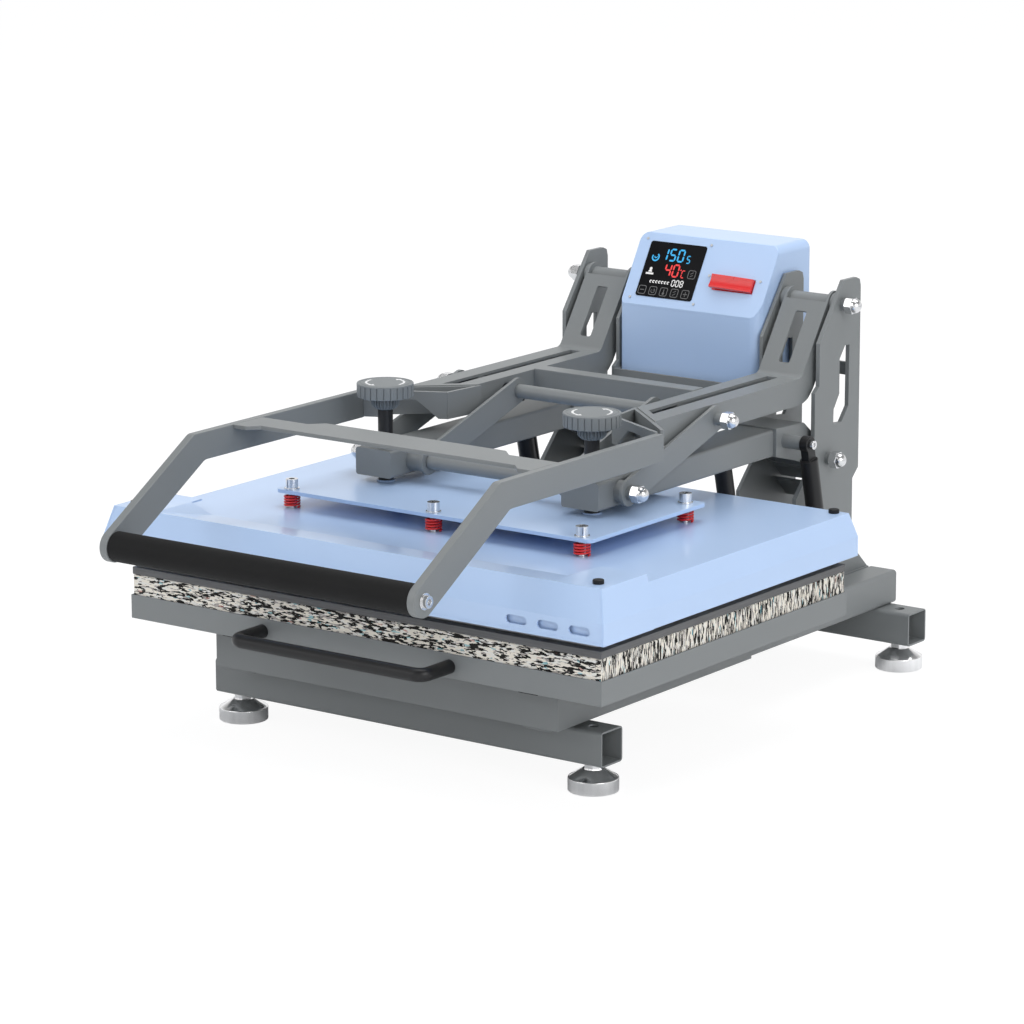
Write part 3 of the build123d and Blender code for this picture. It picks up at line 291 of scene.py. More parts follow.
@finish_once
def powder_coat(name, gloss=0.0):
    """Satin powder coat: orange peel, fine sparkle and a slight drift of shade."""
    shader = Shader("coat_" + name)
    shade = tuple(getattr(colours(), name))
    drift = shader.noise(9.0, 2.0)
    grain = shader.noise(1400.0, 2.0)
    peel = shader.noise(520.0, 3.0)
    tone = 0.955 + drift * 0.05 + grain * 0.04
    return shader.finish({
        "Base Color": shader.scaled(shade, tone),
        "Roughness": 0.40 - 0.12 * gloss + drift * 0.06 + grain * 0.06,
        "Coat Weight": 0.12 + 0.3 * gloss,
        "Coat Roughness": 0.28 - 0.12 * gloss,
        "Normal": shader.bump(peel * 0.7 + grain * 0.3, 0.06 * MM),
    })


@finish_once
def chrome_plate():
    """Bright plating with faint turning marks and handling haze."""
    shader = Shader("chrome_plate")
    haze = shader.noise(160.0, 4.0)
    marks = shader.noise(60.0, 2.0, (1.0, 22.0, 22.0))
    return shader.finish({
        "Base Color": shader.scaled(tuple(colours().chrome), 0.93 + haze * 0.1),
        "Metallic": 1.0,
        "Roughness": 0.10 + haze * 0.08 + marks * 0.05,
        "Normal": shader.bump(marks, 0.01 * MM),
    })


@finish_once
def brushed_steel():
    """Plain bright steel, drawn lengthwise."""
    shader = Shader("brushed_steel")
    lines = shader.noise(90.0, 3.0, (30.0, 1.0, 30.0))
    return shader.finish({
        "Base Color": shader.scaled((0.56, 0.57, 0.58), 0.85 + lines * 0.25),
        "Metallic": 1.0,
        "Roughness": 0.26 + lines * 0.12,
        "Normal": shader.bump(lines, 0.02 * MM),
    })


@finish_once
def turned_steel():
    """Bright turned steel of the feet, with upright bands of painted reflection round their
    discs.
    """
    shader = Shader("turned_steel")
    # The upright light and dark bands in the colour are painted reflection of the studio
    streaks = shader.noise(70.0, 2.0, (1.0, 1.0, 0.02))
    haze = shader.noise(150.0, 3.0)
    return shader.finish({
        "Base Color": shader.scaled((0.93, 0.93, 0.935), 0.62 + streaks * 0.62 + haze * 0.04),
        "Metallic": 1.0,
        "Roughness": 0.13 + haze * 0.05,
    })


@finish_once
def black_coat():
    """Black paint over steel, semi-gloss, with a little dust."""
    shader = Shader("black_coat")
    dust = shader.noise(40.0, 5.0)
    grain = shader.noise(1500.0, 2.0)
    return shader.finish({
        "Base Color": shader.mix(dust * 0.25, tuple(colours().black), (0.02, 0.02, 0.021)),
        "Roughness": 0.26 + dust * 0.10 + grain * 0.05,
        "Specular IOR Level": 0.34,
        "Normal": shader.bump(grain, 0.03 * MM),
    })


@finish_once
def foam_rubber():
    """The matte black sleeve of the grip, with a fine pore."""
    shader = Shader("foam_rubber")
    pores = shader.noise(1900.0, 4.0)
    drift = shader.noise(25.0, 3.0)
    return shader.finish({
        "Base Color": shader.mix(drift * 0.5, (0.007, 0.007, 0.007), (0.013, 0.013, 0.014)),
        "Roughness": 0.58 + pores * 0.12,
        "Specular IOR Level": 0.18,
        "Normal": shader.bump(pores, 0.12 * MM),
    })


@finish_once
def moulded(name):
    """Moulded plastic with a spark-eroded grain."""
    shader = Shader("moulded_" + name)
    shade = tuple(getattr(colours(), name))
    grain = shader.noise(1300.0, 3.0)
    drift = shader.noise(30.0, 2.0)
    return shader.finish({
        "Base Color": shader.scaled(shade, 0.92 + drift * 0.10 + grain * 0.06),
        "Roughness": 0.42 + grain * 0.10,
        "Specular IOR Level": 0.22 if name == "black" else 0.45,
        "Normal": shader.bump(grain, 0.05 * MM),
    })


@finish_once
def red_gloss(name):
    """Glossy red of the switch, its well and the sprung wire."""
    shader = Shader("red_" + name)
    drift = shader.noise(120.0, 3.0)
    return shader.finish({
        "Base Color": shader.scaled(tuple(colours().red), 0.86 + drift * 0.22),
        "Roughness": 0.24 + drift * 0.10,
        "Coat Weight": 0.15,
        "Coat Roughness": 0.12,
        "Normal": shader.bump(drift, 0.03 * MM),
    })


def flakes(shader, stretch, specks):
    """Pressed flakes of waste fibre, longer along an axis whose stretch is small.

    Each cell draws three values: one for dark flakes, one for pale and brown ones and
    one for the share of coloured specks.
    """
    at = shader.place(stretch)
    values = {"Vector": at, "Scale": 430.0, "Detail": 3.0}
    wander = shader.node("ShaderNodeTexNoise", {}, values, "Color")
    bend = shader.node(
        "ShaderNodeVectorMath", {"operation": "SCALE"}, {0: wander, "Scale": 0.0042}
    )
    moved = shader.node("ShaderNodeVectorMath", {"operation": "ADD"}, {0: at, 1: bend})
    cells = shader.node(
        "ShaderNodeTexVoronoi", {"feature": "F1"}, {"Vector": moved, "Scale": 270.0}, "Color"
    )
    first, second, third = (
        shader.node("ShaderNodeSeparateColor", {}, {0: cells}, index) for index in (0, 1, 2)
    )
    clump = shader.noise(85.0, 2.0, stretch)
    fibre = shader.noise(1100.0, 4.0)
    ground = shader.scaled(tuple(colours().felt_cream), 0.86 + fibre * 0.34)
    pale, brown = second < 0.26, second > 0.80
    dark = (first * 0.8 + clump * 1.5) < 1.06
    teal, rust = third > 1.0 - specks, third < specks * 0.3
    shade = shader.mix(pale * 0.85, ground, (0.80, 0.79, 0.75))
    shade = shader.mix(brown * 0.8, shade, (0.33, 0.30, 0.285))
    shade = shader.mix(dark * (0.95 + fibre * 0.05), shade, tuple(colours().felt_black))
    shade = shader.mix(teal * 0.75, shade, tuple(colours().felt_teal))
    return shader.mix(rust * 0.6, shade, (0.42, 0.13, 0.11))


@finish_once
def pressed_felt():
    """Reclaimed felt: flakes lie flat along the front and stand on the cut side edges."""
    shader = Shader("pressed_felt")
    normal = shader.node("ShaderNodeNewGeometry", {}, {}, "Normal")
    sideways = abs(shader.node("ShaderNodeSeparateXYZ", {}, {0: normal}, "X")) > 0.7
    lying = flakes(shader, (0.68, 1.0, 2.6), 0.025)
    standing = flakes(shader, (1.0, 2.9, 0.55), 0.012)
    fibre = shader.noise(900.0, 4.0)
    tufts = shader.noise(260.0, 3.0)
    return shader.finish({
        "Base Color": shader.mix(sideways, lying, standing),
        "Roughness": 0.94,
        "Specular IOR Level": 0.12,
        "Normal": shader.bump(fibre * 0.5 + tufts * 0.5, 0.6 * MM),
    })


@finish_once
def silicone_rubber():
    """Dark silicone sheet, with the faint streaks of its moulding."""
    shader = Shader("silicone_rubber")
    streaks = shader.noise(55.0, 5.0, (0.5, 0.5, 16.0))
    grain = shader.noise(1100.0, 2.0)
    return shader.finish({
        "Base Color": shader.scaled(tuple(colours().silicone), 0.60 + streaks * 0.84),
        "Roughness": 0.55 + grain * 0.15,
        "Normal": shader.bump(grain, 0.08 * MM),
    })


@finish_once
def bare_aluminium():
    """Cast and milled aluminium."""
    shader = Shader("bare_aluminium")
    mill = shader.noise(50.0, 4.0, (1.0, 20.0, 1.0))
    return shader.finish({
        "Base Color": shader.scaled((0.62, 0.62, 0.63), 0.9 + mill * 0.15),
        "Metallic": 1.0,
        "Roughness": 0.34 + mill * 0.12,
        "Normal": shader.bump(mill, 0.03 * MM),
    })


@finish_once
def fibre_blanket():
    """Pale fibre blanket."""
    shader = Shader("fibre_blanket")
    fibre = shader.noise(600.0, 5.0)
    return shader.finish({
        "Base Color": shader.scaled((0.72, 0.70, 0.62), 0.8 + fibre * 0.3),
        "Roughness": 0.95,
        "Normal": shader.bump(fibre, 0.5 * MM),
    })


@finish_once
def circuit_board():
    """Varnished board."""
    shader = Shader("circuit_board")
    tracks = shader.noise(300.0, 1.0)
    return shader.finish({
        "Base Color": shader.mix(tracks > 0.55, (0.01, 0.10, 0.04), (0.02, 0.17, 0.07)),
        "Roughness": 0.3,
        "Coat Weight": 0.4,
    })


@finish_once
def display_glass():
    """Near-black glass with faint smears."""
    shader = Shader("display_glass")
    smears = shader.noise(35.0, 4.0)
    return shader.finish({
        "Base Color": shader.scaled((0.006, 0.006, 0.007), 0.8 + smears * 0.4),
        "Roughness": 0.10 + smears * 0.08,
        "Specular IOR Level": 0.08,
    })


@finish_once
def lit_segment(name, shade):
    """A lit mark on the display."""
    shader = Shader("lit_" + name)
    flicker = shader.noise(900.0, 2.0)
    return shader.finish({
        "Base Color": shader.scaled(shade, 0.03 + flicker * 0.02),
        "Emission Color": shader.scaled(shade, 0.90 + flicker * 0.1),
        "Emission Strength": 1.0,
        "Roughness": 0.3,
    })


@finish_once
def printed(name, level):
    """Ink of one grey level."""
    shader = Shader("print_" + name)
    wear = shader.noise(700.0, 3.0)
    return shader.finish({
        "Base Color": shader.scaled((level, level, level), 0.9 + wear * 0.12),
        "Roughness": 0.45,
    })


FINISH_OF_SLOT = {
    "grey_coat": lambda: powder_coat("grey"),
    "blue_coat": lambda: powder_coat("blue", 1.0),
    "chrome": chrome_plate,
    "steel": brushed_steel,
    "black_steel": black_coat,
    "black_plastic": lambda: moulded("black"),
    "black_rubber": foam_rubber,
    "knob_grey": lambda: moulded("knob"),
    "red_plastic": lambda: red_gloss("switch"),
    "red_steel": lambda: red_gloss("wire"),
    "aluminium": bare_aluminium,
    "felt": pressed_felt,
    "silicone": silicone_rubber,
    "glass_fibre": fibre_blanket,
    "board": circuit_board,
    "display": display_glass,
}


# Making pieces

WELD = 0.002 * MM
FLAT = radians(0.5)
SMOOTH_UP_TO = radians(35)
ROUND_FROM = radians(28)


def new_piece(name, mesh, body, slot, finish=None, replaces=()):
    """Links a mesh as a piece that rides on a body and wears a finish."""
    piece = bpy.data.objects.new(name, mesh)
    bpy.context.scene.collection.objects.link(piece)
    mesh.materials.clear()
    mesh.materials.append(finish or FINISH_OF_SLOT[slot]())
    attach(piece, body)
    if replaces:
        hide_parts(*replaces)
    return piece


def mesh_from(name, shape, smooth_up_to=SMOOTH_UP_TO):
    """A mesh from a bmesh, smooth except over its sharp edges."""
    mesh = bpy.data.meshes.new(name)
    bmesh.ops.recalc_face_normals(shape, faces=shape.faces)
    shape.to_mesh(mesh)
    shape.free()
    mesh.shade_smooth()
    mesh.set_sharp_from_angle(angle=smooth_up_to)
    return mesh


def add_rounding(piece, width):
    """Rounds the piece's edges and evens its shading."""
    bevel = piece.modifiers.new("rounded edges", "BEVEL")
    bevel.width = width
    bevel.segments = 2
    bevel.limit_method = "ANGLE"
    bevel.angle_limit = ROUND_FROM
    bevel.harden_normals = True
    even = piece.modifiers.new("even shading", "WEIGHTED_NORMAL")
    even.keep_sharp = True


def rounded_node(node, width=None, finish=None):
    """A piece with the node's own shape and rounded edges, in its place."""
    shape = bmesh.new()
    shape.from_mesh(NODES[node].data)
    bmesh.ops.remove_doubles(shape, verts=shape.verts, dist=WELD)
    bmesh.ops.dissolve_limit(shape, angle_limit=FLAT, verts=shape.verts, edges=shape.edges)
    mesh = mesh_from(node + "_shape", shape)
    piece = new_piece(
        node + "_finished", mesh, BODY_OF[node], SLOT_OF[node], finish, (node,)
    )
    add_rounding(piece, width or sizes().edge_round)
    return piece


def dress_node(node, finish=None):
    """Gives a CAD node its finish."""
    materials = NODES[node].data.materials
    finish = finish or FINISH_OF_SLOT[SLOT_OF[node]]()
    if len(materials) == 0:
        materials.append(finish)
    for index in range(len(materials)):
        materials[index] = finish


def hull(shape, corners):
    """Adds the closed flat-sided body that just holds the corners."""
    points = [shape.verts.new(corner) for corner in corners]
    bmesh.ops.convex_hull(shape, input=points)


def ring_point(middle, radius, turn, z):
    """A point that far round and out from an upright axis."""
    return (middle.x + radius * cos(turn), middle.y + radius * sin(turn), z)


# The pieces, one operator for each group

class PressOperator:
    """What the press's operators share."""

    bl_options = {"REGISTER", "UNDO"}


class PRESS_OT_hidden_nodes(PressOperator, bpy.types.Operator):
    """Gives the inner pieces their finish"""

    bl_idname = "press.hidden_nodes"
    bl_label = "Inner pieces"

    INNER = (
        "heating_plate",
        "heating_element",
        "insulation",
        "controller_board",
        "gas_rods_outer",
        "gas_rods_inner",
        "screw_left",
        "screw_right",
    )
    # Black slides, whose black also stands in for the shade along the dark line under the tray
    SLIDES = ("slide_channels", "drawer_runners")

    def execute(self, context):
        for node in self.INNER:
            dress_node(node)
        dress_node("switch_well", red_gloss("well"))
        for node in self.SLIDES:
            dress_node(node, black_coat())
        return {"FINISHED"}


class PRESS_OT_frame(PressOperator, bpy.types.Operator):
    """Rounds and coats the standing frame"""

    bl_idname = "press.frame"
    bl_label = "Frame"

    PIECES = (
        "base_cross_tubes",
        "base_rails",
        "base_apron",
        "rear_deck",
        "uprights",
        "upright_ties",
        "gas_brackets",
        "box_tray",
    )

    def execute(self, context):
        for node in self.PIECES:
            rounded_node(node)
        return {"FINISHED"}


class PRESS_OT_linkage(PressOperator, bpy.types.Operator):
    """Rounds and coats the handle, the links and the press arms"""

    bl_idname = "press.linkage"
    bl_label = "Handle, links and arms"

    PIECES = (
        "handle_arms",
        "handle_bushes",
        "cross_beam",
        "handle_gussets",
        "handle_bars",
        "bridge_plate",
        "link_plates",
        "link_rods",
        "press_arms",
        "arm_cheeks",
        "arm_bushes",
    )

    def execute(self, context):
        for node in self.PIECES:
            rounded_node(node)
        return {"FINISHED"}


class PRESS_OT_fasteners(PressOperator, bpy.types.Operator):
    """Plates the nuts, bolts and studs"""

    bl_idname = "press.fasteners"
    bl_label = "Nuts and bolts"

    EDGE = 0.35 * MM
    PLATED = ("spring_studs", "grip_screws", "plate_bolts", "panel_screws")
    # How far out from the middle the grey paint goes on each
    PAINTED = {
        "pivot_bolts": 176.3 * MM,
        "link_nuts": 178.6 * MM,
        "link_pivots": 173.8 * MM,
    }

    def execute(self, context):
        for node in self.PLATED:
            rounded_node(node, self.EDGE)
        for node, reach in self.PAINTED.items():
            self.part_painted(rounded_node(node, self.EDGE), reach)
        return {"FINISHED"}

    def part_painted(self, piece, reach):
        """Coats the bosses and collars, which lie nearer the middle than the reach."""
        piece.data.materials.append(powder_coat("grey"))
        for face in piece.data.polygons:
            if abs(face.center.x) < reach:
                face.material_index = 1


class PRESS_OT_platen(PressOperator, bpy.types.Operator):
    """Rounds and coats the cover, its cap and plugs, and the pressure plate"""

    bl_idname = "press.platen"
    bl_label = "Platen cover"

    EDGES = {
        "cover": 0.9 * MM,
        "cover_cap": 0.9 * MM,
        "cover_plugs": 0.5 * MM,
        "pressure_plate": 0.7 * MM,
    }
    # The liners lie this far out from the middle, behind the hood's front and over its foot
    LINER_ENDS = (199.0 * MM, 304.0 * MM)
    LINER_DEPTHS = (4.4 * MM, 5.2 * MM)
    LINER_LEVELS = (3.5 * MM, 19.5 * MM)
    SEAM_HALF = 0.4 * MM
    SEAM_PROUD = 0.3 * MM
    # How far the hem and the laps lie in from the hood's sides and up from its foot
    HEM_IN = 2.0 * MM
    HEM_UP = 2.8 * MM
    LAP_IN = 1.9 * MM
    # The hood's front rises upright to the fold, and leans in and back to the ridge
    FOLD_UP = 22.0 * MM
    RIDGE_IN = 8.7 * MM
    RIDGE_BACK = 9.0 * MM

    def execute(self, context):
        for node, edge in self.EDGES.items():
            rounded_node(node, edge)
        self.slot_liners()
        self.hood_seams()
        return {"FINISHED"}

    def hood_piece(self, name, shape):
        """A piece on the hood, in its blue coat."""
        new_piece(name, mesh_from(name, shape), BODY_OF["cover_cap"], "blue_coat")

    def slot_liners(self):
        """Strips of sheet close behind the slots along the hood's front."""
        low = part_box("cover_cap")[0]
        shape = bmesh.new()
        for side in (-1, 1):
            hull(shape, [
                (x, low.y + back, low.z + level)
                for x in sorted(side * end for end in self.LINER_ENDS)
                for back in self.LINER_DEPTHS
                for level in self.LINER_LEVELS
            ])
        self.hood_piece("hood_slot_liners", shape)

    def hood_seams(self):
        """The hem along the foot of the hood's front and the lap at its two corners."""
        low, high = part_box("cover_cap")
        shape = bmesh.new()
        across = Vector((self.SEAM_HALF, 0.0, 0.0))
        upright = Vector((0.0, 0.0, self.SEAM_HALF))
        hem = low.z + self.HEM_UP
        start = Vector((low.x + self.HEM_IN, low.y, hem))
        end = Vector((high.x - self.HEM_IN, low.y, hem))
        self.strip(shape, start, end, upright)
        for side in (-1, 1):
            foot = Vector((side * (high.x - self.LAP_IN), low.y, low.z))
            fold = foot + Vector((0.0, 0.0, self.FOLD_UP))
            ridge = fold + Vector((-side * self.RIDGE_IN, self.RIDGE_BACK, high.z - fold.z))
            self.strip(shape, foot, fold, across)
            self.strip(shape, fold, ridge, across)
        self.hood_piece("hood_seams", shape)

    def strip(self, shape, start, end, half_width):
        """A flat strip from point to point on the hood's front, standing just proud."""
        proud = Vector((0.0, self.SEAM_PROUD, 0.0))
        hull(shape, [
            point + side * half_width + out * proud
            for point in (start, end)
            for side in (-1, 1)
            for out in (-1, 1)
        ])


class PRESS_OT_springs(PressOperator, bpy.types.Operator):
    """Winds the red springs under the pressure plate"""

    bl_idname = "press.springs"
    bl_label = "Springs"

    OUTER_R = 9.0 * MM
    STEPS = 22

    def execute(self, context):
        low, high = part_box("platen_springs")
        wire = sizes().spring_wire
        curve = bpy.data.curves.new("platen_springs_wound", "CURVE")
        curve.dimensions = "3D"
        curve.bevel_depth = wire / 2
        curve.bevel_resolution = 4
        curve.use_fill_caps = True
        foot = low.z + wire / 2
        height = high.z - low.z - wire
        for x in (low.x + self.OUTER_R, (low.x + high.x) / 2, high.x - self.OUTER_R):
            for y in (low.y + self.OUTER_R, high.y - self.OUTER_R):
                self.wind(curve, Vector((x, y, foot)), self.OUTER_R - wire / 2, height)
        holder = bpy.data.objects.new("spring_holder", curve)
        mesh = bpy.data.meshes.new_from_object(holder)
        bpy.data.objects.remove(holder)
        mesh.shade_smooth()
        node = "platen_springs"
        new_piece("red_springs", mesh, BODY_OF[node], SLOT_OF[node], None, (node,))
        return {"FINISHED"}

    def wind(self, curve, foot, radius, height):
        """One spring, wound up from its foot."""
        turns = sizes().spring_turns
        line = curve.splines.new("POLY")
        line.points.add(int(turns * self.STEPS))
        for index, point in enumerate(line.points):
            turn = index / self.STEPS
            z = foot.z + height * turn / turns
            point.co = (*ring_point(foot, radius, 2 * pi * turn, z), 1.0)


class PRESS_OT_knobs(PressOperator, bpy.types.Operator):
    """Moulds the knobs and prints their arrows"""

    bl_idname = "press.knobs"
    bl_label = "Knobs"

    # Radius, height, depth of the flutes and depth of the neck's pockets, in mm
    RINGS = (
        (8.1, 9.0, 0.0, 0.0),
        (8.1, 0.0, 0.0, 0.0),
        (9.4, 0.0, 0.0, 0.6),
        (12.4, 1.6, 0.0, 1.9),
        (15.0, 4.6, 0.0, 2.6),
        (15.2, 5.2, 0.0, 2.7),
        (15.2, 12.6, 0.0, 2.7),
        (15.2, 12.9, 0.0, 0.0),
        (15.2, 13.5, 0.0, 0.0),
        (29.0, 13.5, 0.0, 0.0),
        (29.8, 13.9, 0.9, 0.0),
        (30.0, 14.7, 1.0, 0.0),
        (30.0, 26.0, 1.0, 0.0),
        (30.0, 26.2, 0.0, 0.0),
        (30.0, 27.3, 0.0, 0.0),
        (29.7, 27.8, 0.0, 0.0),
        (29.1, 28.0, 0.0, 0.0),
        (27.2, 28.0, 0.0, 0.0),
        (26.9, 27.6, 0.0, 0.0),
        (25.9, 27.6, 0.0, 0.0),
        (25.6, 28.0, 0.0, 0.0),
    )
    SMOOTH_UP_TO = radians(28)
    # Half a flute's width at its floor, and its half width at the rim in floor widths
    FLUTE_HALF = radians(1.0)
    FLUTE_LIP = 1.2
    # Where a neck pocket starts, is in its middle and ends, as shares of a flute's pitch
    POCKET = (0.26, 0.5, 0.74)
    # An arrow's middle line, half its width, its barbs' reach and its height over the top
    ARROW_R = 20.0 * MM
    ARROW_HALF = 1.25 * MM
    ARROW_BARB = 3.8 * MM
    ARROW_ABOVE = 0.05 * MM
    ARROW_STARTS = (radians(-6), radians(174))
    ARROW_SWEEP = radians(84)
    ARROW_TIP = radians(17)
    ARROW_STEPS = 12

    def execute(self, context):
        for side in ("left", "right"):
            self.body(side)
            self.arrows(side)
        return {"FINISHED"}

    def body(self, side):
        """A fluted rim with a ring let into its top, on a ribbed neck."""
        low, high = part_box("knob_" + side)
        middle = (low + high) / 2
        flutes = sizes().knob_flutes
        pitch = 2 * pi / flutes
        half, lip = self.FLUTE_HALF, self.FLUTE_LIP * self.FLUTE_HALF
        offsets = (-lip, -half, half, lip) + tuple(share * pitch for share in self.POCKET)
        shape = bmesh.new()
        rings = []
        for radius, height, flute_depth, pocket_depth in self.RINGS:
            cuts = (0.0, flute_depth, flute_depth, 0.0) + len(self.POCKET) * (pocket_depth,)
            z = low.z + height * MM
            rings.append([
                shape.verts.new(
                    ring_point(middle, (radius - cut) * MM, flute * pitch + offset, z)
                )
                for flute in range(flutes)
                for offset, cut in zip(offsets, cuts)
            ])
        for lower, upper in zip(rings, rings[1:]):
            for index in range(len(lower)):
                after = (index + 1) % len(lower)
                shape.faces.new((lower[index], lower[after], upper[after], upper[index]))
        shape.faces.new(rings[0])
        shape.faces.new(rings[-1])
        node = "knob_" + side
        mesh = mesh_from(node + "_shape", shape, self.SMOOTH_UP_TO)
        new_piece(node + "_moulded", mesh, BODY_OF[node], SLOT_OF[node], None, (node,))

    def arrows(self, side):
        """Two curved arrows on the knob's top."""
        low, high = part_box("knob_" + side)
        middle = (low + high) / 2
        top = high.z + self.ARROW_ABOVE
        inner, outer = self.ARROW_R - self.ARROW_HALF, self.ARROW_R + self.ARROW_HALF
        shape = bmesh.new()
        for start in self.ARROW_STARTS:
            rims = []
            for step in range(self.ARROW_STEPS + 1):
                turn = start + self.ARROW_SWEEP * step / self.ARROW_STEPS
                rims.append([
                    shape.verts.new(ring_point(middle, radius, turn, top))
                    for radius in (inner, outer)
                ])
            for one, two in zip(rims, rims[1:]):
                shape.faces.new((one[0], one[1], two[1], two[0]))
            end = start + self.ARROW_SWEEP
            head = (
                (self.ARROW_R - self.ARROW_BARB, end),
                (self.ARROW_R + self.ARROW_BARB, end),
                (self.ARROW_R, end + self.ARROW_TIP),
            )
            shape.faces.new([
                shape.verts.new(ring_point(middle, radius, turn, top)) for radius, turn in head
            ])
        node, name = "knob_" + side, "knob_arrows_" + side
        new_piece(
            name, mesh_from(name, shape), BODY_OF[node], SLOT_OF[node], printed("white", 0.80)
        )


class PRESS_OT_drawer(PressOperator, bpy.types.Operator):
    """Dresses the drawer: tray, pad, silicone sheet and handle"""

    bl_idname = "press.drawer"
    bl_label = "Drawer"

    HANDLE_EDGE = 0.4 * MM
    SHEET_EDGE = 0.5 * MM
    PAD_EDGE = 1.2 * MM

    def execute(self, context):
        rounded_node("drawer_tray")
        rounded_node("drawer_handle", self.HANDLE_EDGE)
        rounded_node("silicone_sheet", self.SHEET_EDGE)
        pad = rounded_node("felt_pad", self.PAD_EDGE)
        return {"FINISHED"}


class PRESS_OT_grip(PressOperator, bpy.types.Operator):
    """Makes the grip's sleeve"""

    bl_idname = "press.grip"
    bl_label = "Grip"

    EDGE = 1.0 * MM

    def execute(self, context):
        rounded_node("grip", self.EDGE)
        return {"FINISHED"}


class PRESS_OT_gas_springs(PressOperator, bpy.types.Operator):
    """Finishes the gas springs"""

    bl_idname = "press.gas_springs"
    bl_label = "Gas springs"

    EDGE = 0.8 * MM

    def execute(self, context):
        for node in ("gas_cylinders_outer", "gas_cylinders_inner"):
            rounded_node(node, self.EDGE)
        return {"FINISHED"}


class PRESS_OT_control_box(PressOperator, bpy.types.Operator):
    """Rounds and coats the control box"""

    bl_idname = "press.control_box"
    bl_label = "Control box"

    EDGES = {
        "box_shell": 0.8 * MM,
        "box_panel": 0.5 * MM,
        "display_glass": 0.25 * MM,
        "switch_rocker": 0.7 * MM,
        "power_inlet": 0.5 * MM,
    }

    def execute(self, context):
        for node, edge in self.EDGES.items():
            rounded_node(node, edge)
        return {"FINISHED"}


# The middle of the control face's lower edge in mm, its slope and the marks' height on it
FACE_FOOT = Vector((0.0, 322.525, 387.5))
FACE_TILT = radians(59.589)
MARKS_OUT = 0.84


def on_face(x, up):
    """A point of the marks, from mm across the control face and up along it."""
    along = Vector((x, up * cos(FACE_TILT), up * sin(FACE_TILT)))
    out = MARKS_OUT * Vector((0.0, -sin(FACE_TILT), cos(FACE_TILT)))
    return (FACE_FOOT + along + out) * MM


